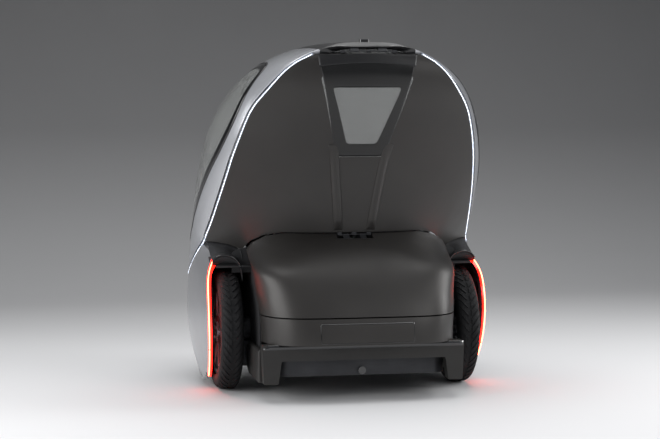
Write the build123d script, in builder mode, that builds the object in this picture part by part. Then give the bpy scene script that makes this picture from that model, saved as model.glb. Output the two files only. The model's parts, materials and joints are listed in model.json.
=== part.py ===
"""Two-seat electric pod car that balances on two side-by-side wheels.

Millimetres. Origin on the ground under the middle of the car's box, +Z up,
the nose points to -Y and +X is the car's left side. It stands parked on its
two drive wheels and two small casters under the nose.
"""

from build123d import *
from functools import lru_cache
from math import asin, atan2, cos, degrees, exp, hypot, pi, radians, sin, sqrt
import os

os.makedirs("parts", exist_ok=True)

# ------------------------------------------------------------- driving sizes
# body envelope
ROOF_Z = 1645.0            # highest point of the canopy
BELT_Z = 750.0             # height where the canopy is widest
BELT_HALF = 685.0          # half width at the belt
FENDER_HALF = 716.0        # half width at the fullest point of the fenders
FENDER_Z = 380.0           # height of that point
NOSE_Y = -750.0            # front end
NOSE_Z = 500.0             # height of the nose tip
TAIL_Y = 744.0             # rear end of the trunk
REAR_DEPTH = 600.0         # from the widest station back to the virtual tail
LOW_REAR_DEPTH = 1100.0    # the same for the flatter fender flank

SHELL_LOW = 600.0          # the rear shell's middle line ends here
CREASE_TOP = 1606.0        # height of the roof's rear edge
LIP_Y = 690.0              # the roof starts to roll down here
LIP_END = 741.0
HINGE_Y = 737.0            # canopy hinge, in the seam between roof and tail
HINGE_Z = 1602.0

# wheels
AXLE_Y = 150.0
TYRE_R = 282.5
TYRE_W = 108.0
TYRE_SHOULDER = 34.0       # round of the outer edges, less on a low tyre
TYRE_BEAD = 10.0
TRACK_HALF = 569.0
RIM_R = 212.0
HUB_R = 62.0
STUB_R = 24.0
STUB_GAP = 0.05            # running clearance of a wheel on its stub axle

# casters under the nose
CASTER_X = 300.0
CASTER_Y = -470.0
CASTER_R = 38.0
CASTER_W = 30.0
CASTER_TRAIL = 26.0
SWIVEL_R = 9.0

# walls and seams
SHELL_T = 24.0             # canopy frame
REAR_T = 14.0              # rear shell
GLASS_T = 6.0
SKIN_T = 14.0              # fenders, lid, bumper and nose
SEAM = 6.0                 # gap round a panel that opens
CREASE_GAP = 8.0           # gap between the canopy's edge and the crease
PANE_GAP = 0.4             # gap round a glued pane
LIGHT_R = 5.0              # half width of a light strip
STRIP_T = 5.0

# chassis
FLOOR_Z = 330.0
DECK_LOW = 112.0
DECK_HIGH = 232.0
DECK_HALF = 400.0
DECK_FRONT = -600.0
DECK_REAR = 600.0

# jacking pads under the deck
PAD_X = 250.0
PAD_REAR = 350.0
PAD_FRONT = -250.0
PAD_R = 40.0
PAD_T = 6.0

BATTERY_Y = -170.0
BATTERY_L = 640.0
WELL_IN = 447.0            # inner wall of a wheel well
WELL_R = 326.0             # outside of its arch
WELL_T = 8.0
WELL_OPEN = 95.0           # the arch ends this far behind the axle, the tyre shows below it

# seats
SEAT_GAP = 50.0
SEAT_W = 340.0
CUSHION_LOW = FLOOR_Z + 130
CUSHION_T = 110.0
BACK_LOW = CUSHION_LOW + CUSHION_T + PANE_GAP


SIDES = {"left": 1, "right": -1}


# ------------------------------------------------------------ body envelope
def smooth(t):
    """Soft step from 0 to 1."""
    t = min(1.0, max(0.0, t))
    return t * t * (3 - 2 * t)


def half_width(z):
    """Half width of the body at a height, at its widest station."""
    if z >= BELT_Z:
        rise = min(1.0, (z - BELT_Z) / (ROOF_Z - BELT_Z))
        return BELT_HALF * (1 - rise ** 3.3) ** (1 / 2.3)
    swell = FENDER_HALF - BELT_HALF
    if z >= FENDER_Z:
        return BELT_HALF + swell * (1 - cos(pi * (BELT_Z - z) / (BELT_Z - FENDER_Z))) / 2
    return FENDER_HALF - 40 * ((FENDER_Z - z) / 275) ** 2


def widest_y(z):
    """Station where the body is widest at a height."""
    rise = max(z, 700.0) - 1131
    upper = 147 + 0.58 * rise - 0.00024 * rise * rise
    return upper + (-60 - upper) * smooth((700 - z) / 260)


def nose_y(z):
    """Front end of the body at a height."""
    if z >= NOSE_Z:
        rise = min(1.0, (z - NOSE_Z) / (ROOF_Z - NOSE_Z))
        return 385 + (NOSE_Y - 385) * sqrt(1 - rise * rise)
    return NOSE_Y + 130 * ((NOSE_Z - z) / 400) ** 2


def rear_depth(z):
    """Half depth of the plan section behind its widest station."""
    if z >= BELT_Z:
        rise = min(1.0, (z - BELT_Z) / (ROOF_Z - BELT_Z))
        return REAR_DEPTH * (1 - rise ** 45) ** (1 / 2.3)
    step = smooth((z - 540) / 150)
    return 1 / (1 / LOW_REAR_DEPTH + step * (1 / REAR_DEPTH - 1 / LOW_REAR_DEPTH))


def flank_x(y, z):
    """Half width of the body at a station and height."""
    middle = widest_y(z)
    depth = rear_depth(z) if y > middle else middle - nose_y(z)
    if depth <= 0:
        return 0.0
    return half_width(z) * sqrt(max(0.0, 1 - ((y - middle) / depth) ** 2))


def inside(x, y, z):
    """True inside the body envelope, whose roof rolls down at the rear."""
    if z > CREASE_TOP and y > LIP_Y:
        if ((y - LIP_Y) / (LIP_END - LIP_Y)) ** 2 + ((z - CREASE_TOP) / (ROOF_Z - CREASE_TOP)) ** 2 > 1:
            return False
    return z < ROOF_Z and y < LIP_END and abs(x) < flank_x(y, z)


# The crease is the line that the light strips follow, seen from the side.
CREASE = [
    (739, 1606), (697, 1560), (659, 1463), (585, 1354), (523, 1244), (447, 1131),
    (360, 1017), (251, 898), (121, 775), (24, 690), (-36, 620), (-118, 556),
    (-240, 508), (-420, 480),
]
with BuildLine(Plane.YZ) as crease_side:
    Spline(*CREASE)
crease_edge = crease_side.line


def beside_crease(gap):
    """Points along the crease in side view, shifted down and back by a gap."""
    points = []
    for t in [i / 24 for i in range(25)]:
        p, along = crease_edge @ t, crease_edge % t
        points.append((p.Y - along.Z * gap, p.Z + along.Y * gap))
    return points


with BuildLine(Plane.YZ) as canopy_side:
    Spline(*beside_crease(-CREASE_GAP))
canopy_edge = canopy_side.line


def crease_at(t):
    """Point of the left crease, t = 0 at the roof and 1 at the nose corner."""
    p = crease_edge @ t
    return Vector(flank_x(p.Y, p.Z), p.Y, p.Z)


# ------------------------------------------------- canopy in ray coordinates
RAY_Y = 300.0
RAY_Z = 450.0


def ray_angle(y, z):
    """Angle of a point about the ray axis, 0 towards the nose, up is 90."""
    return degrees(atan2(z - RAY_Z, RAY_Y - y))


def canopy_edge_at(angle):
    """Point of the canopy's side edge at a ray angle."""
    low, high = 0.0, 1.0
    for _ in range(40):
        mid = (low + high) / 2
        p = canopy_edge @ mid
        if ray_angle(p.Y, p.Z) > angle:
            low = mid
        else:
            high = mid
    p = canopy_edge @ low
    return Vector(flank_x(p.Y, p.Z), p.Y, p.Z)


def on_canopy(angle, spread):
    """Canopy point on the ray at an angle about the axis and a spread from the middle."""
    a, s = radians(angle), radians(spread)
    dx, dy, dz = sin(s), -cos(s) * cos(a), cos(s) * sin(a)
    low, high = 50.0, 2200.0
    for _ in range(44):
        mid = (low + high) / 2
        if inside(dx * mid, RAY_Y + dy * mid, RAY_Z + dz * mid):
            low = mid
        else:
            high = mid
    return Vector(dx * low, RAY_Y + dy * low, RAY_Z + dz * low)


@lru_cache(maxsize=None)
def edge_spread(angle):
    """Spread of the canopy's side edge at a ray angle."""
    p = canopy_edge_at(angle)
    return degrees(atan2(p.X, hypot(p.Y - RAY_Y, p.Z - RAY_Z)))


def normal_at(surface, u, v, step=0.004):
    """Outward normal of a surface given as a function of u and v."""
    du = surface(min(1, u + step), v) - surface(max(0, u - step), v)
    dv = surface(u, min(1, v + step)) - surface(u, max(0, v - step))
    return du.cross(dv).normalized()


def ramp(count):
    return [i / (count - 1) for i in range(count)]


def skin(surface, thick, rows=17, columns=17, proud=0.0, tol=1.0, mitre=(0, 0)):
    """Closed panel: surface(u, v) is its outer face and thick its wall.

    proud lifts the outer face. mitre pulls the inner face in from the panel's
    two side edges, so that neighbours meet on a slanted cut."""
    outer, inner = [], []
    widths = [
        sum((surface(i / 12 + 1 / 12, v) - surface(i / 12, v)).length for i in range(12))
        for v in ramp(columns)
    ]
    for u in ramp(rows):
        outer_row, inner_row = [], []
        for v, width in zip(ramp(columns), widths):
            outer_row.append(surface(u, v) + normal_at(surface, u, v) * proud)
            w = mitre[0] / width + u * (1 - (mitre[0] + mitre[1]) / width)
            inner_row.append(surface(w, v) - normal_at(surface, w, v) * thick)
        outer.append(outer_row)
        inner.append(inner_row)
    faces = [Face.make_surface_from_array_of_points(grid, tol=tol, min_deg=3) for grid in (outer, inner)]
    rims = [
        lambda g: g[0][len(g[0]) // 2],
        lambda g: g[-1][len(g[0]) // 2],
        lambda g: g[len(g) // 2][0],
        lambda g: g[len(g) // 2][-1],
    ]
    for rim in rims:
        near = [
            face.edges().sort_by(lambda e, q=rim(grid): e.distance_to(q))[0]
            for face, grid in zip(faces[:2], (outer, inner))
        ]
        faces.append(Face.make_surface_from_curves(*near))
    return Solid(Shell(faces))


def finish(piece, name):
    """Label a piece, write its STEP file and say what it is."""
    piece.part.label = name
    export_step(piece.part, f"parts/{name}.step")
    print(name, piece.part.is_valid, round(piece.part.volume / 1e6, 3), len(piece.part.solids()))


def finish_pair(piece, name):
    """Write a left piece and its mirror image on the right."""
    finish(piece, f"{name}_left")
    with BuildPart() as right:
        add(mirror(piece.part, about=Plane.YZ, mode=Mode.PRIVATE))
    finish(right, f"{name}_right")


# --------------------------------------------------------------- the canopy
CANOPY_LOW = ray_angle(*beside_crease(-CREASE_GAP)[-1])
CANOPY_HIGH = ray_angle(*beside_crease(-CREASE_GAP)[0])
SCREEN_HIGH = 80.0          # ray angle of the windscreen's top edge
SCREEN_LOW = CANOPY_LOW + 2.0


def pillar_spread(angle):
    """Spread of the windscreen's side edge at a ray angle."""
    t = (angle - CANOPY_LOW) / (SCREEN_HIGH - CANOPY_LOW)
    return 27 + 4 * t - 16 * t ** 3


def canopy_patch(low, high, left, right):
    """Canopy surface between two ray angles and two spreads that follow the angle."""

    def surface(u, v):
        angle = low + (high - low) * (1 - (1 - v) ** 1.8)
        a, b = left(angle), right(angle)
        return on_canopy(angle, a + (b - a) * u)

    return surface


canopy_all = canopy_patch(
    CANOPY_LOW, CANOPY_HIGH, lambda a: -edge_spread(a), lambda a: edge_spread(a)
)


WINDOW = [
    (500, 1470), (470, 1320), (372, 1180), (222, 1045), (55, 915), (-120, 790), (-270, 690),
    (-390, 660), (-440, 760), (-420, 920), (-352, 1110), (-190, 1320), (60, 1468), (300, 1520),
    (455, 1520),
]


def window_profile(gap=0.0):
    """Side window seen from the side, drawn on the YZ plane, shrunk by a gap."""
    with BuildLine(Plane.YZ) as rim:
        Spline(*WINDOW, periodic=True)
    points = []
    for t in ramp(49)[:-1]:
        p, along = rim.line @ t, rim.line % t
        points.append((p.Y - along.Z * gap, p.Z + along.Y * gap))
    with BuildSketch(Plane.YZ) as profile:
        with BuildLine():
            Spline(*points, periodic=True)
        make_face()
    return profile.sketch


def screen_patch(gap):
    """Windscreen area of the canopy, shrunk all round by a gap."""
    turn = degrees(gap / 950)
    return canopy_patch(
        SCREEN_LOW + turn, SCREEN_HIGH - turn,
        lambda a: turn - pillar_spread(a), lambda a: pillar_spread(a) - turn,
    )


# ------------------------------------------------------- rear shell and lights
def rail(t, away):
    """Point beside the left crease, moved away from it towards the tail's middle."""
    p = crease_at(t)
    along = (crease_at(min(1, t + 0.004)) - crease_at(max(0, t - 0.004))).normalized()
    inboard = smooth((p.Z - 640) / 120)
    deeper = max(p.Z - 120, SHELL_LOW)
    target = Vector(p.X * (1 - inboard), p.Y + (shell_centre_y(deeper) - p.Y) * inboard, p.Z - 120)
    across = target - p
    across = (across - along * across.dot(along)).normalized()
    return p + across * away


SHELL_LINE = [
    (736, 1640), (740, 1580), (738, 1500), (712, 1400), (662, 1300), (606, 1200), (560, 1116),
    (515, 1000), (478, 880), (434, 755), (400, 620),
]
with BuildLine(Plane.YZ) as shell_side:
    Spline(*SHELL_LINE)
shell_edge = shell_side.line


@lru_cache(maxsize=None)
def shell_centre_y(z):
    """Station of the rear shell's middle line at a height."""
    low, high = 0.0, 1.0
    for _ in range(40):
        mid = (low + high) / 2
        if (shell_edge @ mid).Z > z:
            low = mid
        else:
            high = mid
    return (shell_edge @ low).Y


CANOPY_GRID = dict(rows=25, columns=33)
CANOPY_MITRE = SHELL_T + 18
with BuildPart() as canopy_frame:
    add(skin(canopy_all, SHELL_T, mitre=(CANOPY_MITRE, CANOPY_MITRE), **CANOPY_GRID))
    add(skin(screen_patch(0), SHELL_T + 30, proud=30), mode=Mode.SUBTRACT)
    extrude(window_profile(), amount=900, both=True, mode=Mode.SUBTRACT)
finish(canopy_frame, "canopy_frame")

pane_layer = skin(canopy_all, GLASS_T, **CANOPY_GRID)
with BuildPart() as windscreen:
    add(pane_layer)
    add(skin(screen_patch(PANE_GAP), SHELL_T + 30, proud=30), mode=Mode.INTERSECT)
finish(windscreen, "windscreen")

with BuildPart() as side_window_left:
    add(pane_layer)
    extrude(window_profile(PANE_GAP), amount=900, mode=Mode.INTERSECT)
finish_pair(side_window_left, "side_window")


SHELL_TOP = HINGE_Z - 9
SHELL_RUN = 0.72            # share of the crease beside the rear shell


@lru_cache(maxsize=None)
def shell_side_point(v):
    return rail(0.012 + (SHELL_RUN - 0.012) * v, 2 * LIGHT_R + PANE_GAP)


def rear_shell_surface(u, v):
    side = shell_side_point(v)
    z = SHELL_TOP + (SHELL_LOW - SHELL_TOP) * v
    k = 2 * u - 1
    y = side.Y + (shell_centre_y(z) - side.Y) * (1 - abs(k) ** 2.2)
    return Vector(side.X * k, y, side.Z + (z - side.Z) * (1 - k * k))


LID_TOP = 755.0
LID_LOW = 395.0
LID_HALF = 484.0
LID_CORNER = [(0, 672), (26, 708), (78, 738), (160, LID_TOP)]     # inset and height of the top corners
TRUNK_TAPER = 32.0          # the trunk is this much narrower at its lower edge
TRUNK_FRONT = 484.0         # front end of the trunk's side walls, behind the wheel wells


def lid_outline(gap):
    """Lid seen from behind, grown by a gap."""
    with BuildSketch(Plane.XZ) as outline:
        with BuildLine():
            corner = [(LID_HALF - x, z) for x, z in LID_CORNER]
            Polyline(
                (-LID_HALF, LID_LOW), *[(-x, z) for x, z in corner],
                *reversed(corner), (LID_HALF, LID_LOW), (-LID_HALF, LID_LOW),
            )
        make_face()
        if gap:
            offset(amount=gap, kind=Kind.INTERSECTION)
    return outline.sketch


def window_outline(gap):
    """Rear window seen from behind, shrunk by a gap."""
    with BuildSketch(Plane.XZ) as outline:
        with BuildLine():
            Polyline((-218, 1494), (218, 1494), (112, 1118), (-112, 1118), (-218, 1494))
        make_face()
        fillet(outline.vertices(), 18)
        if gap:
            offset(amount=-gap)
    return outline.sketch


def arch_outline():
    """Area below the rear shell's lower edges, seen from behind."""
    with BuildSketch(Plane.XZ) as outline:
        for side in (1, -1):
            with BuildLine():
                arch = Spline((side * 760, 704), (side * 640, 697), (side * 560, 690),
                              (side * 490, 662), (side * 445, 600), (side * 425, 500))
                Polyline(arch @ 1, (side * 760, 500), arch @ 0)
            make_face()
    return outline.sketch


SHELL_GRID = dict(rows=21, columns=29)
REAR_MITRE = REAR_T + 16
with BuildPart() as rear_shell:
    add(skin(rear_shell_surface, REAR_T, mitre=(REAR_MITRE, REAR_MITRE), **SHELL_GRID))
    extrude(lid_outline(SEAM), amount=-900, mode=Mode.SUBTRACT)
    extrude(arch_outline(), amount=-900, mode=Mode.SUBTRACT)
    extrude(window_outline(0), amount=-900, mode=Mode.SUBTRACT)
finish(rear_shell, "rear_shell")

with BuildPart() as rear_window:
    add(skin(rear_shell_surface, GLASS_T, **SHELL_GRID))
    extrude(window_outline(PANE_GAP), amount=-900, mode=Mode.INTERSECT)
finish(rear_window, "rear_window")


def strip_surface(u, v):
    return rail(0.012 + 0.97 * v, 2 * LIGHT_R * (1 - u))


with BuildPart() as side_light_left:
    add(skin(strip_surface, STRIP_T, rows=5, columns=41, tol=0.3, mitre=(0, STRIP_T)))
finish_pair(side_light_left, "side_light")


# ------------------------------------------------------------ trunk and lid
def trunk_y(z):
    """Station of the trunk's middle line at a height."""
    fall = min(1.0, max(0.0, (LID_TOP - z) / 485))
    return shell_centre_y(LID_TOP) + (TAIL_Y - shell_centre_y(LID_TOP)) * sin(pi / 2 * fall ** 0.8)


def trunk_half(z):
    """Half width of the trunk at a height."""
    return LID_HALF - TRUNK_TAPER * smooth((700 - z) / 430)


def trunk_side_y(z):
    """Front end of the trunk's side walls at a height, which meets the shell at the top."""
    return TRUNK_FRONT - 44 * smooth((z - 380) / 140) - 175 * smooth((z - 560) / 130)


def trunk_patch(low, high):
    """Trunk surface between two heights: flat at the back, with round corners that soften upward."""

    def surface(u, v):
        z = low + (high - low) * v
        boxy = smooth((LID_TOP - z) / 170)
        a = pi / 2 * (1 - 2 * u) * 0.985
        bend = 1 - (1 - abs(sin(a)) ** (2.2 + 2.8 * boxy)) ** (1 - 0.5 * boxy)
        y = trunk_y(z) - (trunk_y(z) - trunk_side_y(z)) * bend
        return Vector(trunk_half(z) * sin(a), y, z)

    return surface


LID_NOTCH_LOW = LID_TOP - 22
with BuildPart() as rear_lid:
    add(skin(trunk_patch(LID_LOW, LID_TOP), SKIN_T, rows=25, columns=17))
    extrude(lid_outline(0), amount=-900, mode=Mode.INTERSECT)
    with BuildSketch(Plane.XZ):
        with Locations((0, (LID_NOTCH_LOW + ROOF_Z) / 2)):
            Rectangle(172, ROOF_Z - LID_NOTCH_LOW)
    extrude(amount=-900, mode=Mode.SUBTRACT)
finish(rear_lid, "rear_lid")

TRUNK_LIFT = 36.0           # the bumper and the trunk box start this far above the deck
BUMPER_LOW = DECK_HIGH + TRUNK_LIFT
with BuildPart() as rear_bumper:
    add(skin(trunk_patch(BUMPER_LOW, LID_LOW - SEAM), SKIN_T, rows=25, columns=9))
finish(rear_bumper, "rear_bumper")


# -------------------------------------------------------- fenders and nose
DISC_Y = -16.0              # the fender is a disc about this point
DISC_Z = 353.0
DISC_R = 327.0
NOSE_LOW = 140.0
NOSE_SPREAD = 74.0
TRIM_GAP = 2 * LIGHT_R + PANE_GAP


def fender_patch(u, v):
    reach = DISC_R + 2 * LIGHT_R + 5
    y, z = DISC_Y + reach * (2 * u - 1), DISC_Z + reach * (2 * v - 1)
    return Vector(flank_x(y, z), y, z)


def below_crease(gap):
    """Side area under the crease, kept a gap away from it, on the YZ plane."""
    line = beside_crease(gap)
    with BuildSketch(Plane.YZ) as area:
        with BuildLine():
            Spline(*line)
            Polyline(line[-1], (-1000, line[-1][1] + 60), (-1000, -200), (1100, -200),
                     (1100, line[0][1]), line[0])
        make_face()
    return area.sketch


FENDER_GRID = dict(rows=17, columns=17)
with BuildPart() as fender_left:
    add(skin(fender_patch, SKIN_T, **FENDER_GRID))
    with BuildSketch(Plane.YZ):
        with Locations((DISC_Y, DISC_Z)):
            Circle(DISC_R)
    extrude(amount=900, mode=Mode.INTERSECT)
    extrude(below_crease(TRIM_GAP), amount=900, mode=Mode.INTERSECT)
finish_pair(fender_left, "fender")


with BuildPart() as tail_light_left:
    add(skin(fender_patch, SKIN_T, **FENDER_GRID))
    with BuildSketch(Plane.YZ):
        with Locations((DISC_Y, DISC_Z)):
            Circle(DISC_R + PANE_GAP + 2 * LIGHT_R)
            Circle(DISC_R + PANE_GAP, mode=Mode.SUBTRACT)
        with Locations((DISC_Y - DISC_R, DISC_Z)):
            Rectangle(3 * DISC_R, 3 * DISC_R, mode=Mode.SUBTRACT)
    extrude(amount=900, mode=Mode.INTERSECT)
    extrude(below_crease(TRIM_GAP), amount=900, mode=Mode.INTERSECT)
finish_pair(tail_light_left, "tail_light")


def nose_patch(low):
    """Lower nose from a height up, swept round from one side to the other."""

    def surface(u, v):
        a = radians(NOSE_SPREAD * (2 * u - 1))
        z = low + (505 - low) * v
        middle = widest_y(z)
        return Vector(half_width(z) * sin(a), middle - (middle - nose_y(z)) * cos(a), z)

    return surface


def below_canopy(gap):
    """Side area below the canopy's lower edge and a gap."""
    rise = (RAY_Z - CREASE[-1][1]) / (RAY_Y - CREASE[-1][0])
    front = RAY_Z + (-900 - RAY_Y) * rise
    with BuildSketch(Plane.YZ) as area:
        with BuildLine():
            Polyline(
                (-900, front - gap), (RAY_Y, RAY_Z - gap), (RAY_Y, -200), (-900, -200),
                (-900, front - gap),
            )
        make_face()
    return area.sketch


NOSE_GRID = dict(rows=25, columns=9)
with BuildPart() as nose_panel:
    add(skin(nose_patch(NOSE_LOW), SKIN_T, **NOSE_GRID))
    extrude(below_canopy(SEAM), amount=900, both=True, mode=Mode.INTERSECT)
    extrude(below_crease(TRIM_GAP), amount=900, both=True, mode=Mode.INTERSECT)
    with BuildSketch(Plane.YZ):
        with Locations((DISC_Y, DISC_Z)):
            Circle(DISC_R + PANE_GAP)
    extrude(amount=900, both=True, mode=Mode.SUBTRACT)
finish(nose_panel, "nose_panel")


nose_cutter = skin(nose_patch(DECK_LOW - 30), SKIN_T + PANE_GAP, proud=250, **NOSE_GRID)


# ------------------------------------------------------------------ chassis
with BuildPart() as chassis_deck:
    with BuildSketch(Plane.XY.offset(DECK_LOW)):
        with Locations((0, (DECK_FRONT + DECK_REAR) / 2)):
            RectangleRounded(2 * DECK_HALF, DECK_REAR - DECK_FRONT, 60)
    extrude(amount=DECK_HIGH - DECK_LOW)
    add(nose_cutter, mode=Mode.SUBTRACT)
    with BuildSketch(Plane.XY.offset(DECK_LOW)):
        with Locations((PAD_X, PAD_REAR), (-PAD_X, PAD_REAR), (PAD_X, PAD_FRONT), (-PAD_X, PAD_FRONT)):
            Circle(PAD_R)
    extrude(amount=-PAD_T)
finish(chassis_deck, "chassis_deck")

FLOOR_LOW = FLOOR_Z - 25
with BuildPart() as battery_pack:
    with BuildSketch(Plane.XY.offset(DECK_HIGH)):
        with Locations((0, BATTERY_Y)):
            Rectangle(600, BATTERY_L)
    extrude(amount=FLOOR_LOW - DECK_HIGH)
finish(battery_pack, "battery_pack")

with BuildPart() as floor_pan:
    with BuildSketch(Plane.XY.offset(FLOOR_LOW)):
        with Locations((0, -125)):
            RectangleRounded(2 * WELL_IN, 1090, 150)
    extrude(amount=FLOOR_Z - FLOOR_LOW)
    add(nose_cutter, mode=Mode.SUBTRACT)
finish(floor_pan, "floor_pan")

with BuildPart() as wheel_well_left:
    with BuildSketch(Plane.YZ.offset(WELL_IN)):
        with Locations((AXLE_Y, TYRE_R)):
            Circle(WELL_R)
        with Locations((AXLE_Y, TYRE_R - 90 - WELL_R)):
            Rectangle(3 * WELL_R, 2 * WELL_R, mode=Mode.SUBTRACT)
        with Locations((AXLE_Y, TYRE_R)):
            Circle(HUB_R + 6, mode=Mode.SUBTRACT)
        with Locations((AXLE_Y, TYRE_R - 100)):
            Rectangle(2 * HUB_R + 12, 200, mode=Mode.SUBTRACT)
    extrude(amount=WELL_T)
    with BuildSketch(Plane.YZ.offset(WELL_IN)):
        with Locations((AXLE_Y, TYRE_R)):
            Circle(WELL_R)
            Circle(WELL_R - WELL_T, mode=Mode.SUBTRACT)
        with Locations((AXLE_Y, TYRE_R - 20 - WELL_R)):
            Rectangle(3 * WELL_R, 2 * WELL_R, mode=Mode.SUBTRACT)
        with Locations((AXLE_Y + WELL_OPEN + WELL_R, TYRE_R)):
            Rectangle(2 * WELL_R, 3 * WELL_R, mode=Mode.SUBTRACT)
    extrude(amount=260)
    add(skin(fender_patch, SKIN_T + PANE_GAP, proud=200, **FENDER_GRID), mode=Mode.SUBTRACT)
finish_pair(wheel_well_left, "wheel_well")

COVER_TOP = BUMPER_LOW - PANE_GAP
with BuildPart() as rear_cover:
    with BuildSketch(Plane.XZ.offset(-DECK_REAR)):
        with BuildLine():
            Polyline(
                (-474, COVER_TOP), (474, COVER_TOP), (467, 87), (400, 87), (385, 192),
                (-385, 192), (-400, 87), (-467, 87), (-474, COVER_TOP),
            )
        make_face()
    extrude(amount=-58)
    fillet(rear_cover.edges().filter_by(Axis.Y), 8)
finish(rear_cover, "rear_cover")

with BuildPart() as rear_sensor:
    with BuildSketch(Plane.XZ.offset(-DECK_REAR)):
        with Locations((0, 135)):
            Circle(18)
    extrude(amount=-14)
finish(rear_sensor, "rear_sensor")

PLATE_HALF = 215.0
PLATE_LOW = BUMPER_LOW + 12
PLATE_HIGH = LID_LOW - 31


def plate_surface(u, v):
    x, z = PLATE_HALF * (1 - 2 * u), PLATE_LOW + (PLATE_HIGH - PLATE_LOW) * v
    return trunk_patch(z, z + 1)(0.5 - asin(x / trunk_half(z)) / pi / 0.985, 0)


with BuildPart() as number_panel:
    add(skin(plate_surface, 3, rows=9, columns=5, proud=5, tol=0.2))
    add(skin(trunk_patch(BUMPER_LOW, LID_LOW - SEAM), SKIN_T + 60, rows=25, columns=9, proud=PANE_GAP),
        mode=Mode.SUBTRACT)
finish(number_panel, "number_panel")

BOX_FRONT = 430.0
BOX_TOP = 585.0
BOX_WALL = 10.0
BOX_HALF = WELL_IN - SEAM
BOX_GAP = SEAM + 3           # the lid swings past the box


def box_outline(inset, front):
    """Trunk box section seen from behind, on a plane at the given station."""
    low, half = BUMPER_LOW + inset, BOX_HALF - inset
    with BuildSketch(Plane.XZ.offset(-front)) as outline:
        with Locations((0, (low + BOX_TOP) / 2)):
            Rectangle(2 * half, BOX_TOP - low)
    return outline.sketch


with BuildPart() as box_cuts:
    extrude(box_outline(0, BOX_FRONT), amount=-400)
    extrude(box_outline(BOX_WALL, BOX_FRONT + BOX_WALL), amount=-400, mode=Mode.SUBTRACT)
    add(skin(trunk_patch(LID_LOW - SEAM, LID_TOP), SKIN_T + BOX_GAP, rows=25, columns=17, proud=200),
        mode=Mode.SUBTRACT)
    add(skin(trunk_patch(BUMPER_LOW, LID_LOW - SEAM), SKIN_T + PANE_GAP, rows=25, columns=9, proud=200),
        mode=Mode.SUBTRACT)
with BuildPart() as trunk_box:
    add(box_cuts.part.solids().sort_by(SortBy.VOLUME)[-1])
finish(trunk_box, "trunk_box")


# ------------------------------------------------------------------- wheels
HUB_FACE = TRACK_HALF - TYRE_W / 2 - 6     # outer end of the mount, just inside the tyre
with BuildPart() as hub_mount_left:
    with BuildSketch(Plane.YZ.offset(DECK_HALF)):
        with Locations((AXLE_Y, (DECK_LOW + DECK_HIGH) / 2)):
            Rectangle(110, DECK_HIGH - DECK_LOW)
    extrude(amount=HUB_FACE - DECK_HALF - 10)
    with BuildSketch(Plane.YZ.offset(DECK_HALF + 50)):
        with Locations((AXLE_Y, TYRE_R)):
            Circle(HUB_R)
    extrude(amount=HUB_FACE - DECK_HALF - 50)
    with BuildSketch(Plane.YZ.offset(HUB_FACE)):
        with Locations((AXLE_Y, TYRE_R)):
            Circle(STUB_R)
    extrude(amount=90)
finish_pair(hub_mount_left, "hub_mount")

AXLE_LINE = Axis((0, AXLE_Y, TYRE_R), (1, 0, 0))
TYRE_PLANE = Plane((TRACK_HALF, AXLE_Y, TYRE_R), x_dir=(1, 0, 0), z_dir=(0, -1, 0))
with BuildPart() as tyre_left:
    with BuildSketch(TYRE_PLANE) as section:
        with Locations((0, (TYRE_R + RIM_R) / 2)):
            Rectangle(TYRE_W, TYRE_R - RIM_R)
        fillet(section.vertices().group_by(Axis.Y)[-1], min(TYRE_SHOULDER, 0.8 * (TYRE_R - RIM_R) - TYRE_BEAD))
        fillet(section.vertices().group_by(Axis.Y)[0], TYRE_BEAD)
    revolve(axis=AXLE_LINE)
finish_pair(tyre_left, "tyre")

with BuildPart() as wheel_rim_left:
    with BuildSketch(TYRE_PLANE) as section:
        with Locations((0, RIM_R - 12 - PANE_GAP)):
            Rectangle(TYRE_W - 24, 24)
        with Locations((10, RIM_R / 2)):
            Rectangle(50, RIM_R - 10)
        with Locations((0, HUB_R / 2)):
            Rectangle(TYRE_W - 16, HUB_R)
        with Locations((0, (STUB_R + STUB_GAP) / 2 - 1)):
            Rectangle(2 * TYRE_W, STUB_R + STUB_GAP + 2, mode=Mode.SUBTRACT)
    revolve(axis=AXLE_LINE)
finish_pair(wheel_rim_left, "wheel_rim")


# ------------------------------------------------------------------ casters
with BuildPart() as landing_leg_left:
    with BuildSketch(Plane.XY.offset(DECK_LOW)):
        with Locations((CASTER_X, CASTER_Y)):
            Circle(34)
    extrude(amount=-6)
    with BuildSketch(Plane.XY.offset(DECK_LOW - 6)):
        with Locations((CASTER_X, CASTER_Y)):
            Circle(SWIVEL_R)
    extrude(amount=-18)
finish_pair(landing_leg_left, "landing_leg")

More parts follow.
